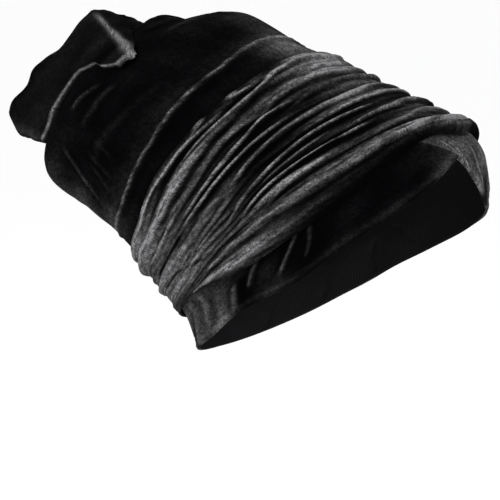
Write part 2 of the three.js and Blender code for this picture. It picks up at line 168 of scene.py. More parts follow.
@dataclass(frozen=True)
class StationRow:
    """One value at seven stations round the right side; the left side repeats it."""

    name: str
    front: float
    parting: float
    brow: float
    temple: float
    ear: float
    behind_ear: float
    nape: float

    def at(self, turn: Array, drift: float = 0.0) -> Array:
        """Returns the smooth value at each turn, the left side wandering a little.

        Args:
            turn: Turns in degrees.
            drift: Size of the left side's wander, drift * sin(t) * sin(3t).

        Returns:
            The values, shaped like the turns.
        """
        values = (self.front, self.parting, self.brow, self.temple, self.ear,
                  self.behind_ear, self.nape)
        away = np.minimum(np.abs(turn), 180.0)
        value = MonotoneCurve(STATION_TURNS, values, level_ends=True)(away)
        wave = np.sin(np.radians(away)) * np.sin(np.radians(3 * away))
        return value + np.where(turn < 0, drift * wave, 0.0)


class Run(Enum):
    """Which way a crease mainly runs."""

    ROUND = "round the form"
    UP = "up the form"


@dataclass(frozen=True)
class Crease:
    """One pinched line of cloth.

    Attributes:
        name: Plain name of the crease.
        run: Which way it runs.
        knots: Points (turn, climb) that it passes, in rising order of its run.
        height: Height of its ridge, or depth if negative.
        width: Half width of the ridge.
        light: Strength of the painted highlight on its ridge; a negative one paints shade in its hollow.
    """

    name: str
    run: Run
    knots: tuple[tuple[float, float], ...]
    height: float
    width: float
    light: float

    def across(self, turn: Array, climb: Array) -> tuple[Array, Array]:
        """Returns millimetres across from the crease, and 1 along it, 0 beyond its faded ends."""
        turns, climbs = zip(*self.knots)
        if self.run is Run.ROUND:
            along, first, last = turn, turns[0], turns[-1]
            across = climb - MonotoneCurve(turns, climbs)(np.clip(turn, first, last))
        else:
            along, first, last = climb, climbs[0], climbs[-1]
            middle = MonotoneCurve(climbs, turns)(np.clip(climb, first, last))
            across = (turn - middle) * DEGREE_MM
        fade = 0.2 * (last - first)
        kept = smooth_step(first, first + fade, along) * smooth_step(last, last - fade, along)
        return across, kept

    def strength(self, turn: Array, climb: Array) -> Array:
        """Returns a bell across the crease, faded out over the last fifth at each end."""
        across, kept = self.across(turn, climb)
        return bell(across / self.width) * kept

    def shine(self, turn: Array, climb: Array) -> Array:
        """Returns the painted highlight, a bell with a shallow flank of painted shade on each side, 1.35
        narrow - 0.4 wide; for a negative light, the plain bell of painted shade.
        """
        across, kept = self.across(turn, climb)
        if self.light < 0:
            return bell(across / self.width) * kept
        return (1.35 * bell(across / self.width) - 0.4 * bell(across / (2.6 * self.width))) * kept


@dataclass(frozen=True)
class Swell:
    """A soft rise (+) or dent (-) of the cloth, with painted light on it: lighter for painted sheen,
    darker for painted shade.
    """

    name: str
    turn: float
    climb: float
    turn_reach: float
    climb_reach: float
    height: float
    light: float = 0.0

    def strength(self, turn: Array, climb: Array) -> Array:
        """Returns bell(turn apart / reach) * bell(climb apart / reach)."""
        across = bell(apart(turn, self.turn) / self.turn_reach)
        return across * bell((climb - self.climb) / self.climb_reach)

    def shine(self, turn: Array, climb: Array) -> Array:
        """Returns where the painted light changes, the same as its strength."""
        return self.strength(turn, climb)


@dataclass
class Relief:
    """Height over the form and painted light (sheen, highlights and shade), gathered from swells and
    creases.
    """

    height: Array
    light: Array

    def add(self, shapes: tuple[Any, ...], turn: Array, climb: Array, clear: Any = 1.0) -> None:
        """Adds each shape's strength times its height, and its painted light.

        Args:
            shapes: Swells or creases.
            turn: Turns of the grid.
            climb: Climbs of the grid.
            clear: 0 where the shapes must not reach, 1 where they may.
        """
        for shape in shapes:
            self.height = self.height + shape.height * shape.strength(turn, climb) * clear
            self.light = self.light + shape.light * shape.shine(turn, climb) * clear


# ---- the form --------------------------------------------------------------------------------
# Columns: climb, front y, front z, back y, back z, half width.
SECTIONS = (
    (-15, -106, 48, 94, -62, 82),  # below the rim, at the nape
    (0, -107, 66, 98, -50, 84),  # head opening
    (20, -104, 92, 104, -36, 86),  # forehead peak
    (35, -94, 106, 111, -26, 88),  # lowest turn of the sash
    (60, -59, 121, 128, -8, 89),  # middle of the sash
    (90, -8, 141, 150, 13, 89),  # upper edge of the sash
    (115, 42, 164, 176, 31, 86),  # crown bag
    (145, 104, 178, 208, 48, 75),  # crown bag leaning back
    (158, 132, 176, 221, 58, 66),  # shoulder of the crown end
    (168, 152, 171, 226, 71, 55),  # crown end
    (180, 170, 160, 226, 87, 41),  # crown end closing in
    (190, 184, 149, 222, 103, 27),  # crown end closing in
    (197, 195, 139, 215, 115, 13),  # crown end nearly closed
    (200, 206, 127, 206, 127, 0),  # tip of the crown end
)


class Form:
    """The tilted, bent tube of oval sections that the wrap is laid out on."""

    squareness = 2.2
    tip_climb = 200.0

    def __init__(self) -> None:
        """Runs one smooth curve through each column of the sections."""
        columns = np.array(SECTIONS, float).T
        self.curves = [MonotoneCurve(columns[0], column) for column in columns[1:]]

    def point(self, turn: Array, climb: Array) -> Array:
        """Returns centre + cos(turn) s (front - back) / 2 - sin(turn) s (half width) x.

        Args:
            turn: Turns in degrees.
            climb: Climbs in millimetres, of the same shape.

        Returns:
            Points in millimetres, s being (|cos|^n + |sin|^n)^(-1/n), a superellipse.
        """
        front_y, front_z, back_y, back_z, half = (curve(climb) for curve in self.curves)
        cosine, sine = np.cos(np.radians(turn)), np.sin(np.radians(turn))
        n = self.squareness
        stretch = (np.abs(cosine) ** n + np.abs(sine) ** n) ** (-1.0 / n)
        x = -half * sine * stretch
        y = (front_y + back_y) / 2 + (front_y - back_y) / 2 * cosine * stretch
        z = (front_z + back_z) / 2 + (front_z - back_z) / 2 * cosine * stretch
        return np.stack((x, y, z), axis=-1)

    def normal(self, turn: Array, climb: Array) -> Array:
        """Returns the outward unit normal: the step round crossed with the step up."""
        step = 0.5
        low = np.minimum(climb, self.tip_climb - 2 * step)
        across = self.point(turn - step, low) - self.point(turn + step, low)
        up = self.point(turn, low + step) - self.point(turn, low - step)
        normal = np.cross(across, up)
        return normal / np.linalg.norm(normal, axis=-1, keepdims=True)

    def over(self, turn: Array, climb: Array, height: Array) -> Array:
        """Returns the point of the form plus its normal times a height."""
        return self.point(turn, climb) + self.normal(turn, climb) * height[..., None]


# ---- closed cloth walls ----------------------------------------------------------------------
@dataclass
class Wall:
    """A closed cloth wall on a grid: a closed section loop (rows) carried along columns.

    Attributes:
        points: Millimetre points, rows by columns by 3.
        light: Painted light (sheen, highlights and shade) with random pile tone, rows by columns.
        cloth: Place on the flat cloth in millimetres, rows by (columns + 1) by 2.
        face_rows: Number of rows on the pile side; the rest is edge and back.
        edge_rows: Number of rows that round each edge over.
        ring: Whether the columns close on themselves; otherwise both ends are capped.
    """

    points: Array
    light: Array
    cloth: Array
    face_rows: int
    edge_rows: int
    ring: bool

    def faces(self) -> tuple[Array, Array]:
        """Returns the quads as (row, column) pairs, and whether each is on the back.

        Each quad joins rows r, r + 1 and columns j, j + 1; rows always wrap. A cap joins row r
        to its partner on the other side of the wall, 2 n + m - 1 - r.
        """
        rows, columns = self.points.shape[:2]
        r, j = np.meshgrid(np.arange(rows), np.arange(columns if self.ring else columns - 1),
                           indexing="ij")
        quads = np.stack((np.stack((r, j), -1), np.stack((r, j + 1), -1),
                          np.stack((r + 1, j + 1), -1), np.stack((r + 1, j), -1)), axis=-2)
        quads = quads.reshape(-1, 4, 2)
        first_back = self.face_rows + self.edge_rows
        back = (quads[:, 0, 0] >= first_back) & (quads[:, 0, 0] < first_back + self.face_rows)
        if not self.ring:
            half = self.edge_rows // 2
            r = np.arange(-half, self.face_rows - 1 + half)
            partner = 2 * self.face_rows + self.edge_rows - 1 - r
            for column, order in ((0, (0, 1, 2, 3)), (columns - 1, (3, 2, 1, 0))):
                cap = np.stack((r, r + 1, partner - 1, partner), -1)[:, list(order)]
                cap = np.stack((cap, np.full_like(cap, column)), -1)
                quads = np.concatenate((quads, cap))
                back = np.concatenate((back, np.zeros(len(cap), bool)))
        quads[..., 0] = np.mod(quads[..., 0], rows)
        return quads, back

    def build(self, name: str) -> bpy.types.Object:
        """Makes the mesh object, its layer of painted light and its cloth map, with faces outward.

        Args:
            name: Name of the object.

        Returns:
            The linked object, in metres, with its poles merged.
        """
        rows, columns = self.points.shape[:2]
        quads, back = self.faces()
        corners = quads[..., 0] * columns + np.mod(quads[..., 1], columns)
        places = self.points.reshape(-1, 3) * MM
        first, second, third, fourth = (places[corners[:, i]] for i in range(4))
        volume = np.einsum("ij,ij->", first, np.cross(second, third) + np.cross(third, fourth))
        if volume < 0:
            quads, corners = quads[:, ::-1], corners[:, ::-1]
        mesh = bpy.data.meshes.new(name)
        mesh.from_pydata(places.tolist(), [], corners.tolist())
        # The layer holds painted light: painted sheen, highlights and shade.
        layer = mesh.attributes.new(PAINTED_LIGHT_LAYER, "FLOAT", "POINT")
        layer.data.foreach_set("value", self.light.ravel().astype(np.float32))
        flat = self.cloth[quads[..., 0], quads[..., 1]] * MM
        mesh.uv_layers.new(name=CLOTH_MAP).data.foreach_set("uv", flat.ravel().astype(np.float32))
        mesh.polygons.foreach_set("material_index", back.astype(np.int32))
        mesh.polygons.foreach_set("use_smooth", np.ones(len(quads), bool))
        self.merge_poles(mesh)
        piece = bpy.data.objects.new(name, mesh)
        bpy.context.scene.collection.objects.link(piece)
        return piece

    @staticmethod
    def merge_poles(mesh: bpy.types.Mesh) -> None:
        """Merges points under a micron apart, which closes a pole into triangles."""
        soft = bmesh.new()
        soft.from_mesh(mesh)
        bmesh.ops.remove_doubles(soft, verts=soft.verts, dist=1e-6)
        soft.to_mesh(mesh)
        soft.free()
        mesh.update()


@dataclass
class Layup:
    """Rows of one piece before they are bent over the form.

    Attributes:
        turn: Turns, rows by columns, from the foot edge to the top edge.
        climb: Climbs, of the same shape.
        outer: Height of the pile side.
        inner: Height of the back.
        light: Painted light (sheen, highlights and shade) with random pile tone.
        top_edge: Whether the top edge is rounded over; a tip isn't.
    """

    turn: Array
    climb: Array
    outer: Array
    inner: Array
    light: Array
    top_edge: bool = True

    def wall(self, form: Form, ring: bool) -> Wall:
        """Bends the section loop over the form.

        The loop runs up the pile side, over the top edge on a half circle between the two
        sides, down the back and round the foot edge on another half circle.

        Args:
            form: The form that the wrap is laid out on.
            ring: Whether the piece runs all the way round.

        Returns:
            The closed wall.
        """
        angles = np.radians(90.0 - 180.0 * (np.arange(EDGE_ROWS) + 1) / (EDGE_ROWS + 1))
        loops: list[list[Array]] = [[], [], [], []]

        def extend(turn: Array, climb: Array, height: Array, light: Array) -> None:
            """Adds rows to the loop."""
            for rows, more in zip(loops, (turn, climb, height, light)):
                rows.append(more)

        def edge(row: int, way: float, order: Array) -> None:
            """Adds the half circle that closes one edge: climb + r cos a, middle + r sin a."""
            half = (self.outer[row] - self.inner[row]) / 2
            middle = (self.outer[row] + self.inner[row]) / 2
            reach = half if self.top_edge or way < 0 else np.zeros_like(half)
            a = order[:, None]
            extend(np.repeat(self.turn[row][None], EDGE_ROWS, 0),
                   self.climb[row] + way * reach * np.cos(a),
                   middle + half * np.sin(a),
                   np.repeat(self.light[row][None], EDGE_ROWS, 0))

        extend(self.turn, self.climb, self.outer, self.light)
        edge(-1, 1.0, angles)
        extend(self.turn[::-1], self.climb[::-1], self.inner[::-1], self.light[::-1])
        edge(0, -1.0, angles[::-1])
        turn, climb, height, light = (np.concatenate(rows) for rows in loops)
        columns = self.turn[0]
        last = columns[-1] + (columns[1] - columns[0])
        u = np.append(columns, last) * DEGREE_MM
        v = np.concatenate((climb, climb[:, :1]), axis=1)
        cloth = np.stack((np.broadcast_to(u, v.shape), v), axis=-1)
        return Wall(form.over(turn, climb, height), light, cloth, len(self.turn), EDGE_ROWS,
                    ring)


def grid(turns: Array, shares: Array) -> tuple[Array, Array]:
    """Returns turns and shares as two arrays, rows of shares by columns of turns."""
    return np.meshgrid(turns, shares, indexing="xy")


# ---- shader writing --------------------------------------------------------------------------
class Value:
    """A shader socket that can be used in plain sums; each operation adds one Math node."""

    def __init__(self, shader: "Shader", socket: bpy.types.NodeSocket) -> None:
        """Keeps the shader and the socket."""
        self.shader = shader
        self.socket = socket

    def _math(self, operation: str, first: Any, second: Any = 0.0) -> "Value":
        """Returns the result of one Math node."""
        node = self.shader.node("ShaderNodeMath", {"operation": operation}, {0: first, 1: second})
        return Value(self.shader, node.outputs[0])

    def __add__(self, other: Any) -> "Value":
        """Returns self + other."""
        return self._math("ADD", self, other)

    def __radd__(self, other: Any) -> "Value":
        """Returns other + self."""
        return self._math("ADD", other, self)

    def __sub__(self, other: Any) -> "Value":
        """Returns self - other."""
        return self._math("SUBTRACT", self, other)

    def __rsub__(self, other: Any) -> "Value":
        """Returns other - self."""
        return self._math("SUBTRACT", other, self)

    def __mul__(self, other: Any) -> "Value":
        """Returns self * other."""
        return self._math("MULTIPLY", self, other)

    def __rmul__(self, other: Any) -> "Value":
        """Returns other * self."""
        return self._math("MULTIPLY", other, self)

    def __pow__(self, other: Any) -> "Value":
        """Returns self to the power of other."""
        return self._math("POWER", self, other)

    def kept(self, low: float = 0.0, high: float = 1.0) -> "Value":
        """Returns the value kept between two limits."""
        raised = self._math("MAXIMUM", self, low)
        return raised._math("MINIMUM", raised, high)


class Shader:
    """One material's node tree, written as expressions."""

    def __init__(self, name: str) -> None:
        """Makes an empty material with its output."""
        self.material = bpy.data.materials.new(name)
        self.material.use_nodes = True
        self.tree = self.material.node_tree
        self.tree.nodes.clear()
        self.output = self.tree.nodes.new("ShaderNodeOutputMaterial")

    def node(self, kind: str, settings: dict[str, Any], sockets: dict[Any, Any]) -> bpy.types.Node:
        """Adds a node: its settings first, then the values or links of its sockets.

        Args:
            kind: Node type.
            settings: Attributes of the node.
            sockets: Values, sockets or `Value` objects by input name or number.

        Returns:
            The node.
        """
        node = self.tree.nodes.new(kind)
        for key, setting in settings.items():
            setattr(node, key, setting)
        for key, value in sockets.items():
            source = value.socket if isinstance(value, Value) else value
            if isinstance(source, bpy.types.NodeSocket):
                self.tree.links.new(source, node.inputs[key])
            else:
                node.inputs[key].default_value = source
        return node

    def layer(self, name: str) -> Value:
        """Returns a number layer of the piece."""
        node = self.node("ShaderNodeAttribute", {"attribute_name": name}, {})
        return Value(self, node.outputs["Fac"])

    def noise(self, place: Any, scale: tuple[float, float, float], detail: float) -> Value:
        """Returns noise, 0 to 1, over a place stretched by a scale on each axis."""
        stretched = self.node("ShaderNodeVectorMath", {"operation": "MULTIPLY"},
                              {0: place, 1: scale})
        node = self.node("ShaderNodeTexNoise", {"noise_dimensions": "3D"},
                         {"Vector": stretched.outputs[0], "Scale": 1.0, "Detail": detail,
                          "Roughness": 0.6})
        return Value(self, node.outputs["Fac"])

    def cloth_place(self) -> bpy.types.NodeSocket:
        """Returns the place on the flat cloth, in metres."""
        return self.node("ShaderNodeUVMap", {"uv_map": CLOTH_MAP}, {}).outputs["UV"]

    def object_place(self) -> bpy.types.NodeSocket:
        """Returns the place on the object, in metres."""
        return self.node("ShaderNodeTexCoord", {}, {}).outputs["Object"]

    def blend(self, low: Colour, high: Colour, share: Value) -> bpy.types.NodeSocket:
        """Returns a colour between two, by a share."""
        node = self.node("ShaderNodeMix", {"data_type": "RGBA"},
                         {0: share, 6: (*low, 1.0), 7: (*high, 1.0)})
        return node.outputs[2]

    def bump(self, height: Value, distance: float, strength: float) -> bpy.types.NodeSocket:
        """Returns a normal raised by a height field."""
        node = self.node("ShaderNodeBump", {}, {"Height": height, "Distance": distance,
                                                "Strength": strength})
        return node.outputs["Normal"]

    def finish(self, sockets: dict[str, Any]) -> bpy.types.Material:
        """Adds the surface shader with its sockets and returns the material."""
        surface = self.node("ShaderNodeBsdfPrincipled", {}, sockets)
        self.tree.links.new(surface.outputs[0], self.output.inputs["Surface"])
        return self.material


@dataclass(frozen=True)
class VelvetPile:
    """Black velvet: pile that swallows light, with grey mixed in where the painted-light layer paints
    sheen and highlights.

    Attributes:
        name: Name of the material.
        black: Colour where the pile stands up.
        grey: Colour of the painted sheen and painted highlights.
        contrast: Power that bends the lightness layer before it mixes the two colours.
        grain: How much single tufts vary.
        mottle: How much small clumps of pile vary.
        blotch: How much hand-sized and finger-sized patches vary.
        sheen: Weight of the soft glow at grazing angles.
    """

    name: str
    black: Colour = (0.0008, 0.0007, 0.0009)
    grey: Colour = (0.175, 0.174, 0.179)
    contrast: float = 2.1
    grain: float = 1.7
    mottle: float = 1.5
    blotch: float = 0.4
    sheen: float = 0.004

    def material(self) -> bpy.types.Material:
        """Builds the material.

        The share of grey is (layer * (1 + tufts + clumps + blotches)) ^ contrast; the layer is
        painted light, and tufts, clumps and blotches are random pile tone. Tufts and clumps are noise
        over the flat cloth, blotches are slow noise over the object.
        """
        shader = Shader(self.name)
        cloth, place = shader.cloth_place(), shader.object_place()
        tufts = shader.noise(cloth, (1000.0, 1300.0, 1.0), 1.0)
        clumps = shader.noise(cloth, (300.0, 420.0, 1.0), 2.0)
        weave = shader.noise(cloth, (2200.0, 2200.0, 1.0), 1.0)
        patches = shader.noise(place, (130.0, 130.0, 130.0), 3.0)
        uneven = 1.0 + self.grain * (tufts - 0.5) + self.mottle * (clumps - 0.5)
        uneven = uneven + self.blotch * (patches - 0.5)
        # The painted-light layer, roughened by random pile tone, sets how much painted sheen grey mixes
        # into the black.
        share = (shader.layer(PAINTED_LIGHT_LAYER) * uneven).kept() ** self.contrast
        height = tufts * 0.7 + weave * 0.3
        return shader.finish({
            "Base Color": shader.blend(self.black, self.grey, share),
            "Roughness": 0.9,
            "Specular IOR Level": 0.0,
            "Sheen Weight": self.sheen,
            "Sheen Roughness": 0.35,
            "Sheen Tint": (0.85, 0.84, 0.88, 1.0),
            "Normal": shader.bump(height, 0.0005, 0.5),
        })


@dataclass(frozen=True)
class KnitBack:
    """The matt knitted back of the velvet, with fine ribs."""

    name: str = "velvet_knit_back"
    dark: Colour = (0.0035, 0.0034, 0.0038)
    light: Colour = (0.013, 0.0127, 0.0138)
    rib_pitch_mm: float = 1.6

    def material(self) -> bpy.types.Material:
        """Builds the material: ribs are a sine wave across the cloth, with a little fuzz."""
        shader = Shader(self.name)
        cloth = shader.cloth_place()
        wave = shader.node("ShaderNodeTexWave", {"wave_type": "BANDS", "bands_direction": "X"},
                           {"Vector": cloth, "Scale": 2 * math.pi / (20 * self.rib_pitch_mm * MM),
                            "Distortion": 0.6, "Detail": 1.0})
        rib = Value(shader, wave.outputs["Fac"])
        fuzz = shader.noise(cloth, (1800.0, 900.0, 1.0), 3.0)
        share = (rib * 0.5 + fuzz * 0.6).kept()
        return shader.finish({
            "Base Color": shader.blend(self.dark, self.light, share),
            "Roughness": 0.95,
            "Specular IOR Level": 0.0,
            "Normal": shader.bump(share, 0.0004, 0.6),
        })


@dataclass(frozen=True)
class Finishes:
    """The materials that the pieces share."""

    pile: bpy.types.Material
    back: bpy.types.Material


# ---- sizes that several pieces share ---------------------------------------------------------
LOWER_FOOT = StationRow("foot of the lower turn", 33, 37, 33.5, 25, 21.5, 28.6, 28.6)
TURNS_MEET = StationRow("where the two turns meet", 45, 46.5, 46.6, 45, 41.3, 30.8, 27)
UPPER_TOP = StationRow("top of the upper turn", 103, 102.5, 101, 99, 94.5, 84, 80)
FLAP_TIP_TURN, FLAP_TIP_CLIMB, FLAP_RISE = 12.0, 23.2, 1.06
UNDERLAP_TURN = 31.0


def flap_lift(turn: Array) -> Array:
    """Returns how far the right band stands off to clear the left band's tucked end."""
    return (CLOTH + GAP) * (1.0 - smooth_step(36.0, 80.0, turn))


def sash_lift(turn: Array, climb: Array) -> Array:
    """Returns the sash's stand-off: the gap, and the flap's lift where the flap lies under it."""
    beside = smooth_step(-20.0, 8.0, turn)
    below = 1.0 - smooth_step(SEAM_CLIMB + 1, SEAM_CLIMB + 24, climb)
    return GAP + flap_lift(turn) * beside * below


@dataclass
class Piece:
    """What every piece of the wrap has: its form, its node in the frame and its cut size.

    Attributes:
        form: The form that the wrap is laid out on.
        node: The node of the frame that the piece stands for.
        slot: The material slot of the record; not used.
        flat: Width and length of the cloth before it was laid on, in metres; not used.
        held: How the cloth is held; not used.
        rests_on: Pieces that it lies on.
    """

    form: Form
    node: str = ""
    slot: str = "velvet_nap_dark"
    flat: tuple[float, float] = (0.1, 0.1)
    held: str = "gathered"
    rests_on: tuple[str, ...] = ()

    def wall(self) -> Wall:
        """Returns the piece's closed wall."""
        raise NotImplementedError

    def build(self) -> bpy.types.Object:
        """Makes the piece's mesh object."""
        return self.wall().build(f"{self.node}_velvet")

    def dress(self, piece: bpy.types.Object, finishes: Finishes) -> None:
        """Puts the finishes on, parents the piece to the root body and hides its part from model.glb.

        Args:
            piece: The piece's object.
            finishes: The shared materials.
        """
        piece.data.materials.append(finishes.pile)
        piece.data.materials.append(finishes.back)
        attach(piece, "root")
        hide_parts(self.node)
        list(self.rests_on)


# ---- cap bands -------------------------------------------------------------------------------
# Crease lights in these two tables are painted highlights on the ridges; a negative light paints shade in
# a valley.
BAND_CREASES = (
    Crease("long slanting crease", Run.UP, ((88, 3), (84, 11), (79, 20), (76, 26)), 1.0, 1.9, 0.30),
    Crease("short crease beside it", Run.UP, ((77, 5), (74, 14), (72, 26)), 0.8, 1.7, 0.18),
    Crease("crease below the ear", Run.UP, ((101, 7), (98, 15), (92, 24)), 1.0, 2.2, 0.28),
    Crease("crease behind it", Run.UP, ((109, -2), (108, 8), (106, 17)), 1.0, 2.4, 0.26),
    Crease("fold behind the ear", Run.UP, ((127, -6), (124, 8), (123, 18), (128, 30)),
           1.2, 3.2, 0.15),
    Crease("fold nearer the nape", Run.UP, ((140, -8), (136, 6), (133, 16), (134, 30)),
           1.4, 3.8, 0.16),
    Crease("valley between them", Run.UP, ((120, -6), (119, 6), (120, 20)), -0.8, 2.4, -0.10),
    Crease("nape fold", Run.UP, ((160, -8), (157, 8), (158, 26)), 1.0, 3.2, 0.16),
)
LEFT_CREASES = (
    Crease("long crease", Run.UP, ((-82, 1), (-86, 12), (-90, 24)), 1.0, 1.8, 0.30),
    Crease("crease behind it", Run.UP, ((-100, -4), (-102, 8), (-98, 22)), 0.9, 2.0, 0.26),
    Crease("fold behind the ear", Run.UP, ((-124, -6), (-121, 8), (-124, 26)), 1.0, 3.0, 0.18),
    Crease("nape fold", Run.UP, ((-150, -8), (-146, 8), (-150, 26)), 1.0, 3.2, 0.18),
    Crease("forehead crease", Run.UP, ((-2, 2), (4, 14), (8, 24), (11, 34)), 0.7, 1.0, 0.34),
    Crease("forehead crease beside it", Run.UP, ((6, 12), (10, 24), (16, 36)), 0.6, 0.9, 0.30),
    Crease("temple crease", Run.UP, ((-28, -2), (-22, 10), (-16, 26)), 0.7, 1.3, 0.30),
    Crease("brow crease", Run.UP, ((-12, 2), (-6, 14), (-2, 28)), 0.7, 1.2, 0.34),
)


@dataclass
class Band(Piece):
    """A cap band: plain cloth between its rim and the seam under the sash.

    Attributes:
        rim: Points (turn, climb) of the rim.
        turns: First and last turn.
        columns: Columns of the mesh.
        rows: Rows of the mesh on each side.
        hem: Height and half width of the rolled hem.
        stitch_line: Height of the hem's stitched groove above the rim.
        creases: The creases of this band.
        drape: Slow unevenness of the cloth; the painted light is lighter where it raises the cloth.
    """

    rim: tuple[tuple[float, float], ...] = ()
    turns: tuple[float, float] = (0.0, 1.0)
    columns: int = 300
    rows: int = 64
    hem: tuple[float, float] = (0.7, 2.2)
    stitch_line: float = 9.0
    creases: tuple[Crease, ...] = ()
    drape: Wander = Wander(11, (9, 22), (0.5, 3.0))
    held: str = "stretched"

    def lift(self, turn: Array) -> Array:
        """Returns how far the band stands off the form."""
        return np.zeros_like(turn)

    def top(self, turn: Array) -> Array:
        """Returns the climb of the band's top edge."""
        return np.full_like(turn, SEAM_CLIMB - GAP)

    def lightness(self, turn: Array, climb: Array) -> Array:
        """Returns the painted sheen before creases are added: lighter towards the nape."""
        back = smooth_step(84.0, 132.0, np.abs(turn))
        return 0.06 + 0.32 * back

    def wall(self) -> Wall:
        """Lays the band out: climb = rim + share (top - rim), height = lift + crumples + hem."""
        shares = np.linspace(0.0, 1.0, self.rows)
        turn, share = grid(np.linspace(*self.turns, self.columns), shares)
        rim = MonotoneCurve(*zip(*self.rim))(turn)
        climb = mix(rim, self.top(turn), share)
        foot = LOWER_FOOT.at(turn)
        clear = 1.0 - smooth_step(foot - 9.0, foot - 0.5, climb)
        waves = np.sin(np.radians(turn * 13)) * bell((np.abs(turn) - 112.0) / 26.0)
        relief = Relief(1.1 * waves * clear, self.lightness(turn, climb))
        # Painted shade on the crumples and the drape: lighter where they raise the cloth, darker where
        # they sink it.
        relief.light = relief.light + 0.12 * waves * clear
        relief.height = relief.height + 0.28 * self.drape(turn, climb) * clear
        relief.light = relief.light * (1.0 + 0.35 * self.drape(turn, climb) * clear)
        visible = 1.0 - smooth_step(foot - 4.0, foot + 2.0, climb)
        # The creases add painted highlights on their ridges and painted shade beside them.
        relief.add(self.creases, turn, climb, visible)
        above = climb - rim
        height, width = self.hem
        roll = height * bell((above - width * 0.8) / width)
        groove = 0.35 * bell((above - self.stitch_line) / 0.8) * clear
        base = self.lift(turn) + relief.height
        # Painted highlight on the rolled hem and painted shade in the stitched groove.
        light = relief.light + 0.10 * bell((above - width) / width) - 0.04 * groove
        light = np.clip(light, 0.0, 1.0)
        layup = Layup(turn, climb, base + roll - groove, base - CLOTH, light)
        return layup.wall(self.form, ring=False)


@dataclass
class RightBand(Band):
    """The right band, whose front edge slants up over the forehead and laps the left band."""

    node: str = "band_right"
    flat: tuple[float, float] = (0.062, 0.27)
    rests_on: tuple[str, ...] = ("band_left_velvet",)
    rim: tuple[tuple[float, float], ...] = (
        (12, 21.8), (24, 14.5), (36, 9.5), (50, 4.8), (65, 1.5), (83, -4), (105, -2.5),
        (125, -7), (180, -6))
    turns: tuple[float, float] = (12.0, 179.88)
    creases: tuple[Crease, ...] = BAND_CREASES

    def lift(self, turn: Array) -> Array:
        """Returns the stand-off over the left band's tucked end."""
        return flap_lift(turn)

    def top(self, turn: Array) -> Array:
        """Returns the lower of the seam and the slanting front edge."""
        slant = FLAP_TIP_CLIMB + (turn - FLAP_TIP_TURN) * FLAP_RISE
        return np.minimum(SEAM_CLIMB - GAP, slant)

    def lightness(self, turn: Array, climb: Array) -> Array:
        """Returns painted light: near black at the temple, painted sheen grey at the nape, a painted
        highlight along the front edge and lighter towards the tip.
        """
        slant = FLAP_TIP_CLIMB + (turn - FLAP_TIP_TURN) * FLAP_RISE
        # Painted highlight along the slanting front edge.
        edge = bell((climb - slant + 0.4) / 1.1) * (1.0 - smooth_step(22.0, 34.0, turn))
        near_tip = 0.18 * (1.0 - smooth_step(16.0, 34.0, turn))
        return super().lightness(turn, climb) + 0.34 * edge + near_tip


@dataclass
class LeftBand(Band):
    """The left band, from the nape round the left ear to its end under the right band."""

    node: str = "band_left"
    flat: tuple[float, float] = (0.064, 0.33)
    rim: tuple[tuple[float, float], ...] = (
        (-180, -6), (-135, -7), (-90, -5), (-50, -8), (-25, -7), (-10, 1), (0, 10), (12, 22.5),
        (34, 41))
    turns: tuple[float, float] = (-179.88, UNDERLAP_TURN)
    columns: int = 340
    creases: tuple[Crease, ...] = LEFT_CREASES

    def lightness(self, turn: Array, climb: Array) -> Array:
        """Returns painted sheen: grey at the forehead, darker round the ear and grey at the nape."""
        front = smooth_step(-60.0, -14.0, turn)
        return super().lightness(turn, climb) + 0.44 * front


# ---- crown bag -------------------------------------------------------------------------------
# Swells carry painted light: painted sheen on the rises, painted shade in the dents.
CROWN_SWELLS = (
    Swell("front top swell", -10, 138, 28, 12, 7.0, 0.05),
    Swell("rear top swell", -12, 167, 24, 8, 9.0, 0.05),
    Swell("dent between them", -12, 154, 30, 6, -3.0, -0.04),
    Swell("swell over the nape", 125, 150, 28, 14, 6.0, 0.04),
    Swell("dent by the nape", 118, 125, 18, 14, -2.5, -0.02),
    Swell("left swell", -95, 140, 34, 20, 4.0, 0.03),
    Swell("dent in the left side", -60, 118, 20, 12, -2.5, -0.03),
)
# Patches of painted sheen on the crown, with no rise of their own.
CROWN_PAINTED_SHEEN = (
    Swell("grey front of the crown", -4, 110, 22, 11, 0.0, 0.50),
    Swell("grey top swell", -14, 136, 26, 10, 0.0, 0.16),
    Swell("grey nape side", 148, 104, 24, 20, 0.0, 0.24),
    Swell("grey swell over the nape", 152, 140, 24, 26, 0.0, 0.24),
    Swell("grey left side", -80, 128, 34, 18, 0.0, 0.20),
)
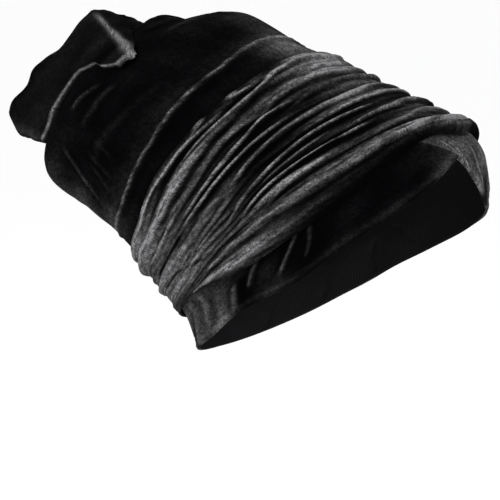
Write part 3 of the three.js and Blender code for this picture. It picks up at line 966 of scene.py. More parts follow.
# Crease lights are painted highlights on the ridges.
CROWN_CREASES = (
    Crease("fold from the tuck's foot", Run.UP, ((133, 108), (126, 122), (118, 135), (108, 148)),
           0.8, 2.0, 0.16),
    Crease("upper faint crease", Run.ROUND, ((70, 149), (76, 151.5), (84, 154), (92, 154)),
           0.6, 1.7, 0.16),
    Crease("lower faint crease", Run.ROUND, ((68, 141), (78, 143.5), (88, 143), (98, 142)),
           0.6, 1.8, 0.13),
    Crease("long faint fold", Run.ROUND, ((58, 124), (78, 127), (100, 128), (116, 124)),
           0.6, 2.2, 0.06),
    Crease("drag line by the nape", Run.UP, ((112, 112), (110, 122), (106, 134)), 0.5, 1.8, 0.07),
    Crease("second drag line", Run.UP, ((119, 108), (116, 118), (113, 128)), 0.5, 1.8, 0.08),
    Crease("third drag line", Run.UP, ((104, 114), (101, 124), (99, 133)), 0.5, 1.8, 0.06),
    Crease("crease over the top", Run.ROUND, ((-60, 150), (-20, 145), (14, 143), (40, 146)),
           0.6, 1.6, 0.10),
    Crease("crease behind it", Run.ROUND, ((-50, 166), (-16, 160), (16, 159), (36, 160)),
           0.7, 1.8, 0.10),
    Crease("crease on the left", Run.ROUND, ((-120, 136), (-96, 131), (-70, 132), (-46, 138)),
           0.8, 1.6, 0.20),
    Crease("crease below it", Run.ROUND, ((-112, 118), (-90, 114), (-66, 112)), 0.7, 1.3, 0.20),
    Crease("nape drag line", Run.UP, ((-150, 100), (-156, 116), (-166, 134)), 0.7, 1.8, 0.18),
    Crease("second nape drag line", Run.UP, ((164, 96), (168, 112), (160, 130)), 0.7, 1.8, 0.18),
)
CROWN_RIDGE = StationRow("thin ridge round the crown bag", 118, 117, 114.2, 112, 106, 99, 96)


@dataclass
class CrownBag(Piece):
    """The crown bag: a soft sack from the seam under the sash to its closed tip.

    Attributes:
        columns: Columns of the mesh.
        sides: Rows under the sash and over it.
        ridge: Height and half width of the thin ridge.
        wrinkles: Broad slow unevenness of the bag.
        pull: Finer unevenness that runs with the cloth.
    """

    node: str = "crown_bag"
    flat: tuple[float, float] = (0.30, 0.42)
    columns: int = 380
    sides: tuple[int, int] = (14, 106)
    ridge: tuple[float, float] = (1.1, 0.9)
    wrinkles: Wander = Wander(21, (2, 9), (1.5, 6.0), 18)
    pull: Wander = Wander(22, (14, 34), (0.5, 2.5), 18)

    def wall(self) -> Wall:
        """Lays the bag out: height = swells + creases + slow wrinkles, faded in over the sash."""
        under, over = self.sides
        start = 0.27  # share of the climb that the sash hides
        shares = np.concatenate((np.linspace(0.0, start, under, endpoint=False),
                                 np.linspace(start, 1.0, over)))
        turn, share = grid(np.linspace(-180.0, 180.0, self.columns, endpoint=False), shares)
        climb = mix(SEAM_CLIMB, Form.tip_climb, share)
        top = UPPER_TOP.at(turn)
        clear = smooth_step(top + 1.0, top + 9.0, climb)
        swell_clear = smooth_step(SEAM_CLIMB + 50, SEAM_CLIMB + 62, climb)
        near_tip = 1.0 - smooth_step(186.0, 197.0, climb)
        relief = Relief(np.zeros_like(turn), np.full_like(turn, 0.07))
        relief.add(CROWN_SWELLS, turn, climb, swell_clear)
        relief.add(CROWN_PAINTED_SHEEN, turn, climb)
        relief.add(CROWN_CREASES, turn, climb, clear)
        wrinkle = self.wrinkles(turn, climb)
        pull = self.pull(turn, climb)
        relief.height = relief.height + (0.60 * wrinkle + 0.20 * pull) * clear * near_tip
        # Painted shade on the wrinkles: lighter where they raise the cloth, darker where they sink it.
        relief.light = relief.light * (1.0 + 0.22 * wrinkle + 0.10 * pull)
        height, width = self.ridge
        line = climb - CROWN_RIDGE.at(turn) - 0.25 * self.pull(turn)
        relief.height = relief.height + height * bell(line / width)
        # Painted highlight along the thin ridge, a faint painted sheen above it and painted shade just
        # below it.
        relief.light = relief.light + 0.56 * bell(line / (width * 0.7)) * (0.8 + 0.2 * pull)
        relief.light = relief.light + 0.05 * bell((line - 3.0) / 4.0)
        relief.light = relief.light - 0.05 * bell((line + 3.2) / 2.0)
        light = np.clip(relief.light, 0.0, 1.0)
        return Layup(turn, climb, relief.height, relief.height - CLOTH, light,
                     top_edge=False).wall(self.form, ring=True)


# ---- sash ------------------------------------------------------------------------------------
@dataclass(frozen=True)
class Fold:
    """One fold of the upper turn, from the lowest up.

    Attributes:
        crest: Climb of its crest at each station.
        height: Height of its crest over its valleys.
        light: Painted sheen on its whole face.
        roundness: 1 for a full, round roll and 0 for a ridge pinched between two hollows.
    """

    crest: StationRow
    height: StationRow
    light: StationRow
    roundness: float


def fold(name: str, roundness: float, *rows: tuple[float, ...]) -> Fold:
    """Makes a fold from its three rows of station values: crest, height and painted sheen."""
    return Fold(*(StationRow(name, *row) for row in rows), roundness)


# The third row of each fold is the painted sheen of its face.
FOLDS = (
    fold("loop fold", 0.8, (53.5, 51, 48.7, 50, 43.8, 36.5, 34),
         (3.0, 3.0, 2.6, 4.0, 2.2, 1.0, 2),
         (0.55, 0.50, 0.25, 0.66, 0.45, 0.62, 0.5)),
    fold("short fold", 0.2, (57.5, 56.5, 55.5, 55.5, 46.3, 39.5, 37),
         (0.8, 1.2, 2.6, 3, 1.5, 0.5, 1),
         (0.35, 0.22, 0.12, 0.26, 0.42, 0.62, 0.5)),
    fold("brow fold", 0.5, (62, 60.4, 58.8, 58.7, 49, 42.5, 40),
         (4.4, 4.2, 2.8, 1.2, 0.6, 0.4, 1.2),
         (0.45, 0.24, 0.22, 0.20, 0.38, 0.64, 0.5)),
    fold("slim fold", 0.2, (67, 66, 66, 62.3, 52, 45.5, 43.5),
         (1.6, 2.0, 3.0, 3.4, 2.2, 0.7, 1),
         (0.16, 0.20, 0.20, 0.18, 0.40, 0.66, 0.5)),
    fold("front fold", 0.9, (72.5, 71.5, 70.3, 66.8, 55.5, 48, 46.5),
         (3.4, 3.4, 2.8, 1.0, 0.5, 0.4, 1.2),
         (0.78, 0.70, 0.40, 0.12, 0.46, 0.66, 0.5)),
    fold("middle fold", 0.5, (78, 76, 75, 71.5, 59, 51, 50),
         (3.8, 3.8, 4.0, 4.0, 3.0, 2.2, 2.6),
         (0.50, 0.50, 0.34, 0.22, 0.46, 0.66, 0.6)),
    fold("thread fold", 0.1, (82, 81, 79.8, 77, 68, 57.5, 54),
         (1.2, 1.2, 1.8, 2.6, 2.2, 1.0, 1),
         (0.45, 0.40, 0.18, 0.16, 0.34, 0.60, 0.5)),
    fold("high fold", 0.2, (86, 85.8, 85, 81, 71.5, 61, 58),
         (3.6, 3.6, 3.0, 3.0, 2.2, 1.0, 1.6),
         (0.32, 0.30, 0.26, 0.22, 0.35, 0.50, 0.5)),
    fold("cross fold", 0.6, (91, 91.5, 90, 86.5, 77, 65, 62),
         (3.8, 3.8, 3.8, 2.4, 0.8, 0.6, 1),
         (0.78, 0.72, 0.46, 0.38, 0.50, 0.66, 0.5)),
    fold("broad fold", 0.9, (96.5, 97, 96, 91.5, 83, 72.5, 69),
         (2.6, 2.6, 3.2, 4.2, 5.4, 5.0, 3.6),
         (0.80, 0.56, 0.34, 0.48, 0.88, 0.84, 0.7)),
    fold("top fold", 0.3, (100.5, 100.6, 99.6, 97.3, 91.8, 81.5, 77.5),
         (3.0, 3.0, 2.8, 2.6, 2.4, 3.0, 2.6),
         (0.92, 0.62, 0.30, 0.20, 0.24, 0.66, 0.5)),
)

# Painted shade in the valleys, as a share of the darker face beside each.
VALLEY_PAINTED_SHADE = StationRow("light left in the valleys", 0.95, 0.78, 0.30, 0.24, 0.36, 0.86, 0.9)
# Painted highlight along the top edge.
EDGE_PAINTED_HIGHLIGHT = StationRow("light on the top edge", 0.1, 0.08, 0.10, 0.12, 0.34, 0.24, 0.2)

# Pinched lines that run over the folds, some of them crossing from one to the next. Their lights are
# painted highlights on the ridges; the dark valleys are painted shade.
SASH_CREASES = (
    Crease("loop line", Run.ROUND, ((46, 50), (60, 50.6), (70, 48.6), (80, 45.2), (92, 43.4)),
           0.5, 0.8, 0.24),
    Crease("front loop line", Run.ROUND, ((-34, 49), (-10, 53), (5, 53), (20, 50.5), (44, 48.4)),
           0.5, 0.8, 0.28),
    Crease("short line", Run.ROUND,
           ((26, 57), (32, 56), (40, 55.5), (50, 56.5), (70, 55), (80, 52), (91, 45)),
           0.8, 0.7, 0.72),
    Crease("brow line", Run.ROUND, ((-52, 57), (-28, 60.5), (0, 62), (15, 60.5), (26, 60), (46, 57)),
           0.7, 0.8, 0.46),
    Crease("line under the slim fold", Run.ROUND, ((40, 62.4), (50, 61.6), (66, 59.3), (74, 57)),
           0.4, 0.6, 0.34),
    Crease("slim line", Run.ROUND,
           ((14, 66), (30, 66), (44, 65.8), (60, 63.5), (70, 60.5), (80, 57), (97, 47.5)),
           0.8, 0.7, 0.60),
    Crease("long middle line", Run.ROUND,
           ((-60, 73), (-30, 76), (0, 78), (20, 76), (50, 75), (60, 73), (70, 70),
            (80, 65), (90, 60),
            (102, 56)), 0.7, 0.9, 0.42),
    Crease("line on the front fold", Run.ROUND, ((-40, 70), (-14, 72), (5, 72), (25, 71), (48, 69)),
           0.5, 0.8, 0.30),
    Crease("lower thread", Run.ROUND,
           ((42, 79.6), (60, 78), (70, 76), (80, 73.4), (90, 70), (106, 64.8)), 0.8, 0.7, 0.60),
    Crease("upper thread", Run.ROUND,
           ((36, 85.6), (50, 85.5), (60, 82.5), (70, 79.5), (80, 76.5), (90, 73), (104, 67.6)),
           0.8, 0.7, 0.70),
    Crease("high front line", Run.ROUND, ((-56, 83), (-26, 85), (0, 86), (25, 85.5), (48, 81.5)),
           0.6, 0.7, 0.30),
    Crease("crossing line", Run.ROUND, ((14, 92), (24, 91.4), (40, 90), (50, 87.2), (62, 87.4), (78, 86)),
           0.7, 0.9, 0.32),
    Crease("line over the broad fold", Run.ROUND,
           ((14, 101), (30, 100), (40, 97.6), (50, 95.6), (60, 95), (70, 94), (84, 91), (92, 89)),
           0.8, 0.7, 0.72),
    Crease("line beside it", Run.ROUND,
           ((52, 97), (60, 96.6), (80, 95.6), (90, 93.6), (100, 91.6), (112, 87.6), (124, 81)),
           0.6, 0.7, 0.62),
    Crease("loose edge line", Run.ROUND, ((38, 99.2), (46, 99.6), (58, 101), (66, 99), (76, 96.4)),
           0.5, 0.6, 0.54),
    Crease("dark valley at the back", Run.ROUND, ((104, 63.4), (110, 61.6), (118, 59), (140, 54)),
           -1.4, 1.3, -0.50),
    Crease("lower dark valley", Run.ROUND, ((106, 41), (114, 44), (126, 47), (142, 46)),
           -0.9, 1.2, -0.26),
    Crease("upper dark valley", Run.ROUND, ((104, 76), (116, 70), (130, 66), (150, 63)),
           -0.8, 1.1, -0.20),
    Crease("back line", Run.ROUND, ((96, 53), (112, 45.4), (128, 41), (150, 38)), 0.6, 1.2, 0.12),
    Crease("second back line", Run.ROUND, ((104, 58), (118, 53), (136, 50), (158, 49)),
           0.7, 1.3, 0.14),
    Crease("gather under the top", Run.ROUND, ((2, 95.4), (10, 96.4), (19, 95.4)), 0.5, 0.7, 0.34),
    Crease("small gather", Run.ROUND, ((4, 92.8), (12, 93.6), (22, 93)), 0.4, 0.6, 0.26),
)


@dataclass
class UpperTurn(Piece):
    """The upper turn of the sash: eleven gathered folds wound round the crown.

    Attributes:
        columns: Columns of the mesh.
        rows: Rows of the mesh on the pile side.
        valley_height: Height of the valleys over the cap, beyond the gap.
        edge_height: Rise of the free edges.
        crest_wander: How far hand-laid crests stray from their even course.
        first_valley: Place of the lowest valley, as a share of the way up to the first crest.
        valley_share: Place of the other valleys between two crests, halfway at the nape; over
            0.5 the folds lean down.
        front_depth: Height of the folds over the forehead, as a share of their height elsewhere.
        streak: How much lighter and darker the pile lies in streaks along the folds.
        left_drop: How much lower the creases lie on the left side.
        fine: Fine unevenness of the cloth.
        slant: Unevenness that slants across the folds.
        streaks: Where the streaks lie.
    """

    node: str = "sash_upper_turn"
    slot: str = "velvet_nap_light"
    flat: tuple[float, float] = (0.115, 0.62)
    columns: int = 440
    rows: int = 104
    valley_height: float = 0.3
    edge_height: float = 0.9
    crest_wander: float = 0.55
    first_valley: float = 0.35
    valley_share: float = 0.70
    front_depth: float = 0.72
    streak: float = 0.20
    left_drop: float = 1.2
    rests_on: tuple[str, ...] = ("crown_bag_velvet",)
    fine: Wander = Wander(31, (4, 16), (10.0, 22.0), 22)
    slant: Wander = Wander(32, (18, 40), (4.0, 12.0), 22)
    streaks: Wander = Wander(33, (2, 16), (14.0, 44.0), 40)

    def wall(self) -> Wall:
        """Lays the turn out through its foot, valleys, crests and top edge.

        Between a valley and a crest the height follows `rise`, round or pinched as the fold
        is. The creases are laid over the right side as given and over the left side mirrored,
        a little lower and faded in beside the forehead. The back follows a share of the folds.

        Returns:
            The closed wall.
        """
        turns = np.linspace(-180.0, 180.0, self.columns, endpoint=False)
        turn, share = grid(turns, np.linspace(0.0, 1.0, self.rows))
        climbs, heights, lights = self.lines(turns)
        climb = mix(climbs[0], climbs[-1], share)
        height = np.broadcast_to(heights[0], turn.shape).copy()
        light = np.broadcast_to(lights[0], turn.shape).copy()
        for k in range(len(climbs) - 1):
            t = np.clip((climb - climbs[k]) / (climbs[k + 1] - climbs[k]), 0.0, 1.0)
            rising = heights[k + 1] > heights[k]
            roundness = FOLDS[max(0, k - 1) // 2].roundness
            up, down = self.rise(t, roundness), 1.0 - self.rise(1.0 - t, roundness)
            height += (heights[k + 1] - heights[k]) * np.where(rising, up, down)
            # Painted light runs from line to line: painted shade in the valleys, painted sheen on the
            # fold faces.
            start, stop = (0.2, 0.95) if k % 2 else (0.4, 1.0)
            light += (lights[k + 1] - lights[k]) * smooth_step(start, stop, t)
        back = height.copy()
        relief = Relief(height, light)
        relief.add(SASH_CREASES, turn, climb)
        left = smooth_step(36.0, 64.0, -turn)
        drift = FAR_SIDE_SHIFT * np.sin(np.radians(turn)) * np.sin(np.radians(3 * turn))
        relief.add(SASH_CREASES, np.abs(turn), climb + self.left_drop - drift, left)
        inside = smooth_step(0.0, 2.5, climb - climbs[0])
        inside = inside * smooth_step(0.0, 2.5, climbs[-1] - climb)
        fine, slant = self.fine(turn, climb), self.slant(turn, climb)
        height = relief.height + (0.16 * fine + 0.08 * slant) * inside
        streaks = self.streaks(turn, share * 57.0)
        # Random streaks of pile tone, and painted light that is lighter where the fine unevenness raises
        # the cloth.
        light = relief.light * (1.0 + 0.10 * fine + 0.05 * slant + self.streak * streaks)
        # Painted highlight along the top edge.
        light += EDGE_PAINTED_HIGHLIGHT.at(turn) * bell((climbs[-1] - climb - 0.7) / 0.9)
        lift = sash_lift(turn, climb)
        outer = lift + SASH_CLOTH + height
        inner = lift + INNER_FOLD_SHARE * back
        layup = Layup(turn, climb, outer, inner, np.clip(light, 0.0, 1.0))
        return layup.wall(self.form, ring=True)

    def lines(self, turns: Array) -> tuple[list[Array], list[Array], list[Array]]:
        """Returns climb, height and painted light of each line from foot to top, by turn."""
        foot, top = TURNS_MEET.at(turns), UPPER_TOP.at(turns)
        flat = np.ones_like(turns)
        valley = mix(self.valley_share, 0.5, smooth_step(92.0, 126.0, np.abs(turns)))
        climbs, heights = [foot], [self.edge_height * flat]
        lights = [FOLDS[0].light.at(turns) * 0.5]
        previous, previous_light = foot, lights[0]
        for k, one in enumerate(FOLDS):
            stray = Wander(100 + k, (2, 9))(turns)
            fullness = 1.0 + 0.22 * Wander(200 + k, (1, 6))(turns)
            crest = one.crest.at(turns, FAR_SIDE_SHIFT) + stray * self.crest_wander
            face = one.light.at(turns) * (1.0 + 0.10 * stray)
            climbs += [mix(previous, crest, self.first_valley if k == 0 else valley), crest]
            depth = mix(self.front_depth, 1.0, smooth_step(30.0, 70.0, np.abs(turns)))
            heights += [self.valley_height * flat, one.height.at(turns) * fullness * depth]
            # Painted shade in the valley under this fold's crest.
            dark = VALLEY_PAINTED_SHADE.at(turns) * np.minimum(face, previous_light)
            lights += [dark, face]
            previous, previous_light = crest, face
        return climbs + [top], heights + [self.edge_height * flat], lights + [previous_light * 0.7]

    @staticmethod
    def rise(t: Array, roundness: float) -> Array:
        """Returns roundness * quarter circle sqrt(1 - (1 - t)^2) + (1 - roundness) * t^1.8."""
        circle = 0.5 * smooth_step(0.0, 1.0, t) + 0.5 * np.sqrt(1.0 - np.square(1.0 - t))
        return mix(np.power(t, 1.8), circle, roundness)


# The lower turn from its foot to its top. Columns: share of its depth, height.
LOWER_LINES = ((0.0, 0.0), (0.105, 3.96), (0.42, 6.0), (0.66, 2.6), (0.86, 5.0), (1.0, 1.5))
LOWER_CREST = StationRow("share of the depth below the crest",
                         0.68, 0.62, 0.56, 0.77, 0.86, 0.86, 0.86)
# Painted light of the lower turn: how far the painted highlight on the sharp fold reaches, the painted
# sheen on the fat roll and the painted highlight on the sharp fold.
CREST_REACH = StationRow("reach of its light", 0.60, 0.42, 0.15, 0.14, 0.13, 0.13, 0.13)
ROLL_PAINTED_SHEEN = StationRow("light of the fat roll", 0.50, 0.26, 0.10, 0.15, 0.60, 0.70, 0.7)
FOLD_PAINTED_HIGHLIGHT = StationRow("light of the sharp fold", 0.94, 0.86, 0.54, 0.56, 0.52, 0.56, 0.5)


@dataclass
class LowerTurn(Piece):
    """The lower turn of the sash: a fat roll at its foot and a sharper fold along its top.

    Attributes:
        end_turn: Turn, on each side, at which it ends.
        columns: Columns of the mesh.
        rows: Rows of the mesh on the pile side.
        fine: Fine unevenness of the cloth.
        slant: Unevenness that slants across the folds.
        streaks: Where the pile lies in streaks.
    """

    node: str = "sash_lower_turn"
    slot: str = "velvet_nap_light"
    flat: tuple[float, float] = (0.032, 0.42)
    end_turn: float = 124.0
    columns: int = 420
    rows: int = 54
    rests_on: tuple[str, ...] = ("band_right_velvet", "band_left_velvet")
    fine: Wander = Wander(41, (5, 18), (8.0, 20.0), 22)
    slant: Wander = Wander(42, (20, 44), (3.0, 10.0), 22)
    streaks: Wander = Wander(43, (2, 16), (14.0, 44.0), 40)

    def wall(self) -> Wall:
        """Lays the turn out through its lines, thinning to nothing where its edges meet."""
        turns = np.linspace(-self.end_turn, self.end_turn, self.columns)
        turn, share = grid(turns, np.linspace(0.0, 1.0, self.rows))
        foot, top = LOWER_FOOT.at(turn), TURNS_MEET.at(turn) - GAP
        climb = mix(foot, top, share)
        fullness = smooth_step(0.0, 12.0, top - foot)
        crest, mark = LOWER_CREST.at(turn), LOWER_LINES[-2][0]
        share = np.where(share < crest, share / crest * mark,
                         mix(mark, 1.0, (share - crest) / (1.0 - crest)))
        profile = MonotoneCurve(*zip(*LOWER_LINES))(share)
        # Painted sheen on the fat roll and painted highlight along the sharp fold.
        roll = ROLL_PAINTED_SHEEN.at(turn) * bell((share - 0.36) / 0.27)
        sharp = FOLD_PAINTED_HIGHLIGHT.at(turn) * bell((share - 0.88) / CREST_REACH.at(turn))
        light = np.maximum(roll, sharp) + 0.16 * ROLL_PAINTED_SHEEN.at(turn)
        inside = smooth_step(0.0, 0.12, share) * smooth_step(1.0, 0.9, share) * fullness
        fine, slant = self.fine(turn, climb), self.slant(turn, climb)
        height = profile * fullness
        outer = height + (0.22 * fine + 0.08 * slant) * inside
        outer = outer + 0.5 * bell((share - 0.86) / 0.05) * fullness
        # Random streaks of pile tone, and painted light that is lighter where the fine unevenness raises
        # the cloth.
        light = light * (1.0 + 0.16 * fine + 0.06 * slant + 0.16 * self.streaks(turn, climb))
        lift = sash_lift(turn, climb)
        layup = Layup(turn, climb, lift + SASH_CLOTH + outer, lift + INNER_FOLD_SHARE * height,
                      np.clip(light, 0.0, 1.0))
        return layup.wall(self.form, ring=False)


# ---- top tuck --------------------------------------------------------------------------------
# Corners of the tuck: 'root' is at the crown end, 'end' is its free end. Columns: x, y, z.
TUCK_CORNERS = {
    ("root", "near", "top"): (-73, 115, 159),
    ("root", "near", "foot"): (-69, 200, 85),
    ("root", "far", "top"): (56, 150, 156),
    ("root", "far", "foot"): (58, 190, 90),
    ("end", "near", "top"): (-30, 179, 187),
    ("end", "near", "foot"): (-22, 281, 92),
    ("end", "far", "top"): (33, 192, 176),
    ("end", "far", "foot"): (29, 271, 95),
}
# How far out the near end reaches, from its foot to its top. Columns: up, out.
TUCK_END = ((-1, 0.55), (-0.87, 0.72), (-0.7, 1.06), (-0.5, 1.17), (-0.3, 1.13), (-0.1, 1.22),
            (0.1, 1.15), (0.3, 1.03), (0.5, 1.02), (0.7, 1.05), (0.85, 1.02), (1, 0.93))
# Where the near side folds under itself on to the crown. Columns: up, out.
TUCK_FOLD = ((-1, -0.10), (-0.85, 0.0), (-0.71, 0.09), (-0.53, 0.20), (-0.28, 0.28), (-0.09, 0.26),
             (0.2, 0.12), (0.53, 0.0), (0.75, -0.02), (0.9, 0.02), (1, 0.04))
# Way in which the near side folds in, as a step of length 1. Columns: x, y, z.
TUCK_INWARD = (0.817, -0.417, -0.398)


@dataclass
class TopTuck(Piece):
    """The top tuck: a squared, hollow fold of cloth standing off the crown end.

    ``angle`` runs round its section: 0 far side, 90 top, 180 near side, 270 foot. ``out`` runs
    from its root at 0 to its end at 1.

    Attributes:
        columns: Columns of the mesh.
        side_rows: Rows from the root to the end.
        cap_rows: Rows that close the end.
        squareness: Exponent of its section; 2 is an oval, more is squarer.
        puff: How far its end bulges, as a share of its length.
        fold_depth: How deep the near side is folded in behind its lower edge.
        wall_share: Wall thickness as a share of its half width.
        rim_rise: Height of the near side's rim over the crown, in millimetres.
        rim_reach: Where that rim stands and its half width, as a share of the way out.
        rim_painted_highlight: Strength of the painted highlight along the rim.
        wrinkles: Broad slow unevenness of the cloth.
        tugs: Finer unevenness round the section.
    """

    node: str = "top_tuck"
    flat: tuple[float, float] = (0.10, 0.27)
    rests_on: tuple[str, ...] = ("crown_bag_velvet",)
    columns: int = 320
    side_rows: int = 72
    cap_rows: int = 26
    squareness: float = 7.0
    puff: float = 0.05
    fold_depth: float = 9.0
    wall_share: float = 0.045
    rim_rise: float = 2.2
    rim_reach: float = 0.045
    rim_painted_highlight: float = 0.55
    wrinkles: Wander = Wander(51, (2, 7), (1.0, 4.0), 18)
    tugs: Wander = Wander(52, (10, 26), (0.5, 3.0), 18)

    def skin(self, angle: Array, out: Array, reach: Array, inset: float) -> Array:
        """Returns points of the tuck's skin, mixed from its eight corners.

        Args:
            angle: Angles round the section in degrees.
            out: Way out from the root.
            reach: Share of the section's reach, under 1 on the closed end.
            inset: 0 for the pile side, 1 for the back.

        Returns:
            Points in millimetres: the corners mixed by across, up and out.
        """
        cosine, sine = np.cos(np.radians(angle)), np.sin(np.radians(angle))
        n = self.squareness
        stretch = (np.abs(cosine) ** n + np.abs(sine) ** n) ** (-1.0 / n)
        scale = stretch * reach * (1.0 - inset * self.wall_share)
        across = (1.0 + cosine * scale)[..., None] / 2
        up = (1.0 + sine * scale)[..., None] / 2
        way = out * (1.0 - inset * 0.04) + self.puff * (1.0 - reach ** 4)
        end_out = MonotoneCurve(*zip(*TUCK_END))(np.clip(sine * scale, -1.0, 1.0))
        nearness = np.clip((1.0 - cosine * scale) / 2, 0.0, 1.0)
        way = (way + (end_out - 1.0) * nearness * way * way)[..., None]
        corner = {name: np.array(place, float) for name, place in TUCK_CORNERS.items()}

        def face(end: str) -> Array:
            """Returns the point of the root or end face."""
            foot = mix(corner[end, "near", "foot"], corner[end, "far", "foot"], across)
            top = mix(corner[end, "near", "top"], corner[end, "far", "top"], across)
            return mix(foot, top, up)

        folded = self.tucked_in(cosine * scale, sine * scale, out)
        return mix(face("root"), face("end"), way) + folded

    def tucked_in(self, across: Array, up: Array, out: Array) -> Array:
        """Returns how far the near side is folded in behind its lower edge.

        Args:
            across: Place across the section, -1 on the near side.
            up: Place up the section, -1 to 1.
            out: Way out from the root.

        Returns:
            Steps in millimetres: the fold's depth times a step that ends at TUCK_FOLD.
        """
        edge = self.fold_edge(up)
        depth = self.fold_depth * smooth_step(0.78, 0.97, -across)
        depth = depth * (1.0 - smooth_step(edge - 0.02, edge + 0.05, out))
        return depth[..., None] * np.array(TUCK_INWARD)

    @staticmethod
    def fold_edge(up: Array) -> Array:
        """Returns how far out the near side folds under, from the TUCK_FOLD table."""
        return MonotoneCurve(*zip(*TUCK_FOLD))(np.clip(up, -1.0, 1.0))

    def root_out(self, angles: Array) -> Array:
        """Returns how far out each line of the skin clears the crown bag.

        Each of 80 steps along the lines is measured against the nearest point of the crown
        bag's grid, along that point's normal; the last step still inside it is the root.

        Args:
            angles: Angles round the section in degrees.

        Returns:
            The first clear ``out`` of each angle, smoothed round the section.
        """
        crown = CrownBag(self.form).wall()
        rows = slice(crown.face_rows // 4, crown.face_rows, 2)
        ground = crown.points[rows, ::4]
        round_step = np.roll(ground, -1, axis=1) - np.roll(ground, 1, axis=1)
        up_step = np.gradient(ground, axis=0)
        normal = np.cross(up_step, round_step)
        normal = normal / np.maximum(np.linalg.norm(normal, axis=-1, keepdims=True), 1e-9)
        centre = ground.mean(axis=(0, 1))
        outward = np.sign(np.sum((ground - centre) * normal, axis=-1, keepdims=True))
        normal = (normal * outward)[:-3].reshape(-1, 3)
        ground = ground[:-3].reshape(-1, 3)
        steps = np.linspace(0.0, 0.9, 80)
        root = np.zeros_like(angles)
        for out in steps:
            place = self.skin(angles, np.full_like(angles, out), np.ones_like(angles), 0.0)
            gaps = ((place[:, None, :] - ground[None]) ** 2).sum(-1)
            nearest = gaps.argmin(axis=1)
            over = np.sum((place - ground[nearest]) * normal[nearest], axis=-1)
            root = np.where(over < 1.0, out + steps[1], root)
        wide = np.concatenate((root[-6:], root, root[:6]))
        window = np.ones(13) / 13
        return np.maximum(np.convolve(wide, window, "valid"), root)

    def wall(self) -> Wall:
        """Lays the tuck out from its root, out along its sides and in over its end."""
        columns = np.linspace(0.0, 360.0, self.columns, endpoint=False)
        # Columns stand closer together near the four edges.
        columns = columns - 9.0 * np.sin(np.radians(4.0 * columns)) / 4.0
        start = self.root_out(columns)
        side = np.linspace(0.0, 1.0, self.side_rows) ** 1.4
        reach = np.concatenate((np.ones(self.side_rows),
                                np.sqrt(1.0 - np.linspace(0.0, 1.0, self.cap_rows + 1)[1:] ** 1.6)))
        along = np.concatenate((side, np.ones(self.cap_rows)))
        angle, along = grid(columns, along)
        reach = np.repeat(reach[:, None], self.columns, 1)
        out = mix(start[None], 1.0, along)
        outer, inner = (self.skin(angle, out, reach, inset) for inset in (0.0, 1.0))
        relief = self.relief(angle, out, out - start[None], reach)
        across = self.across(outer)
        outer = outer + across * relief.height[..., None]
        inner = inner + across * relief.height[..., None] * 0.8
        light = np.clip(relief.light, 0.0, 1.0)
        share = ((np.arange(EDGE_ROWS) + 1) / (EDGE_ROWS + 1))[:, None, None]
        tip = np.repeat(outer[-1:], EDGE_ROWS, 0) * (1 - share) + inner[-1:] * share
        root = inner[:1] * (1 - share) + outer[:1] * share
        points = np.concatenate((outer, tip, inner[::-1], root))
        lights = np.concatenate((light, np.repeat(light[-1:], EDGE_ROWS, 0), light[::-1],
                                 np.repeat(light[:1], EDGE_ROWS, 0)))
        return Wall(points, lights, self.cloth_map(points), len(outer), EDGE_ROWS, ring=True)

    @staticmethod
    def cloth_map(points: Array) -> Array:
        """Returns the cloth place: way round by column, and height plus depth by row."""
        rows, columns = points.shape[:2]
        u = np.linspace(0.0, 360.0, columns + 1) * 0.9
        down = np.linalg.norm(np.diff(points, axis=0, prepend=points[:1]), axis=-1).cumsum(axis=0)
        v = np.concatenate((down, down[:, :1]), axis=1)
        return np.stack((np.broadcast_to(u, (rows, columns + 1)), v), axis=-1)

    @staticmethod
    def across(points: Array) -> Array:
        """Returns the outward unit normal of a grid of points, steps round crossed with out."""
        round_step = np.roll(points, -1, axis=1) - np.roll(points, 1, axis=1)
        out_step = np.gradient(points, axis=0)
        normal = np.cross(round_step, out_step)
        length = np.linalg.norm(normal, axis=-1, keepdims=True)
        normal = np.where(length > 1e-6, normal / np.maximum(length, 1e-6), 0.0)
        centre = points.mean(axis=(0, 1))
        sign = np.sign(np.sum((points[:10] - centre) * normal[:10]))
        return normal * sign

    def relief(self, angle: Array, out: Array, past: Array, reach: Array) -> Relief:
        """Returns the tuck's wrinkles, pinched edges and painted light.

        Args:
            angle: Angles round the section.
            out: Way out from the root.
            past: Way out from where the tuck clears the crown.
            reach: Share of the section's reach.

        Returns:
            Heights in millimetres and painted light.
        """
        fade = smooth_step(0.0, 0.3, reach) * smooth_step(0.0, 0.10, out)
        wrinkle = self.wrinkles(angle, out * 100.0)
        tug = self.tugs(angle, out * 60.0)
        height = (0.9 * wrinkle + 0.25 * tug) * fade
        # Painted shade on the wrinkles: lighter where they raise the cloth.
        light = 0.12 + 0.03 * wrinkle
        side = smooth_step(0.9, 1.0, reach)
        top_edge = bell(apart(angle, 135.0 + 1.2 * tug) / 2.6) * side
        foot_edge = bell(apart(angle, 222.0) / 4.0) * side
        height = height + 1.2 * top_edge + 0.8 * foot_edge
        # Painted highlights along the top edge and the foot edge.
        light = light + 0.60 * top_edge * smooth_step(1.02, 0.8, out) + 0.16 * foot_edge
        on_near = smooth_step(1.0, 8.0, angle - 133.0) * smooth_step(1.0, 8.0, 227.0 - angle) * side
        height = height + self.rim_rise * bell((past - self.rim_reach) / self.rim_reach) * on_near
        # Painted highlight along the near side's rim.
        light = light + self.rim_painted_highlight * bell((past - 0.022) / 0.018) * on_near
        return Relief(height, light)


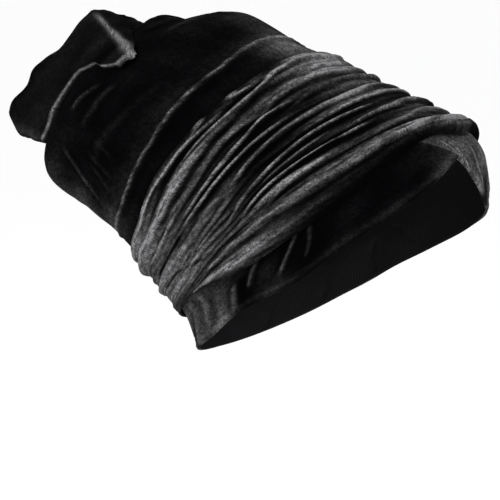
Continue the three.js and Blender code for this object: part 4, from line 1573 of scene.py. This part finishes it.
# ---- studio ----------------------------------------------------------------------------------
@dataclass(frozen=True)
class SoftLight:
    """A square softbox aimed at the middle of the wrap."""

    name: str
    place: tuple[float, float, float]
    size: float
    power: float

    def build(self, aim: Vector) -> None:
        """Makes the light and turns it to its aim."""
        data = bpy.data.lights.new(self.name, "AREA")
        data.shape, data.size, data.energy = "SQUARE", self.size, self.power
        lamp = bpy.data.objects.new(self.name, data)
        lamp.location = self.place
        lamp.rotation_mode = "QUATERNION"
        lamp.rotation_quaternion = (aim - lamp.location).to_track_quat("-Z", "Y")
        bpy.context.scene.collection.objects.link(lamp)


@dataclass
class Studio:
    """White floor, white surround, soft lights and the camera.

    Attributes:
        azimuth: The camera's way round, 0 in front of the forehead, in degrees.
        elevation: The camera's height above the level, in degrees.
        distance: Metres from the target to the camera.
        target: Point that the camera looks at.
        lens: Focal length in millimetres on a 36 mm sensor.
        floor_height: Height of the floor below the head opening.
    """

    azimuth: float = -57.0
    elevation: float = 8.0
    distance: float = 1.5
    target: tuple[float, float, float] = (-0.0291, 0.0502, 0.0212)
    lens: float = 156.6
    floor_height: float = -0.55
    lights: tuple[SoftLight, ...] = field(default_factory=lambda: (
        SoftLight("key softbox", (-1.55, 0.35, 0.95), 0.9, 26.0),
        SoftLight("front softbox", (-0.7, -1.6, 0.7), 0.9, 14.0),
        SoftLight("far softbox", (1.5, 0.3, 0.9), 1.0, 9.0),
    ))

    def build(self) -> None:
        """Builds the surround, the floor, the lights and the camera."""
        self.build_world()
        self.build_floor()
        aim = Vector(self.target)
        for light in self.lights:
            light.build(aim)
        self.build_camera(aim)

    @staticmethod
    def build_world() -> None:
        """Makes an even white surround and a plain display transform."""
        scene = bpy.context.scene
        world = bpy.data.worlds.new("white surround")
        world.use_nodes = True
        background = world.node_tree.nodes["Background"]
        background.inputs["Color"].default_value = (1.0, 1.0, 1.0, 1.0)
        background.inputs["Strength"].default_value = 1.0
        scene.world = world
        scene.view_settings.view_transform = "Standard"

    def build_floor(self) -> None:
        """Makes the floor: a wide level square of pale card."""
        half = 30.0
        corners = [(-half, -half, self.floor_height), (half, -half, self.floor_height),
                   (half, half, self.floor_height), (-half, half, self.floor_height)]
        mesh = bpy.data.meshes.new("pale_floor")
        mesh.from_pydata(corners, [], [(0, 1, 2, 3)])
        floor = bpy.data.objects.new("pale_floor", mesh)
        bpy.context.scene.collection.objects.link(floor)
        shader = Shader("pale_card")
        speck = shader.noise(shader.object_place(), (40.0, 40.0, 40.0), 2.0)
        shade = shader.blend((0.965, 0.965, 0.968), (0.985, 0.985, 0.988), speck)
        mesh.materials.append(shader.finish({"Base Color": shade, "Roughness": 0.9,
                                             "Specular IOR Level": 0.1}))

    def build_camera(self, aim: Vector) -> None:
        """Makes the camera: it stands back from its target by azimuth and elevation."""
        a, e = math.radians(self.azimuth), math.radians(self.elevation)
        back = Vector((math.sin(a) * math.cos(e), -math.cos(a) * math.cos(e), math.sin(e)))
        data = bpy.data.cameras.new("camera")
        data.lens, data.sensor_width = self.lens, 36.0
        camera = bpy.data.objects.new("camera", data)
        camera.location = aim + back * self.distance
        camera.rotation_mode = "QUATERNION"
        camera.rotation_quaternion = (-back).to_track_quat("-Z", "Y")
        bpy.context.scene.collection.objects.link(camera)
        bpy.context.scene.camera = camera


def main() -> None:
    """Builds the studio and the six pieces of the wrap, dresses each one and logs its points and faces.
    """
    logging.basicConfig(level=logging.INFO, format="%(name)s: %(message)s")
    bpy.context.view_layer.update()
    Studio().build()
    form = Form()
    finishes = Finishes(VelvetPile("velvet_pile").material(), KnitBack().material())
    makers = (LeftBand(form), RightBand(form), CrownBag(form), LowerTurn(form), UpperTurn(form),
              TopTuck(form))
    built = [(maker, maker.build()) for maker in makers]
    for maker, piece in built:
        maker.dress(piece, finishes)
        log.info("%s: %d points, %d faces", piece.name, len(piece.data.vertices),
                 len(piece.data.polygons))


if __name__ == "__main__":
    main()
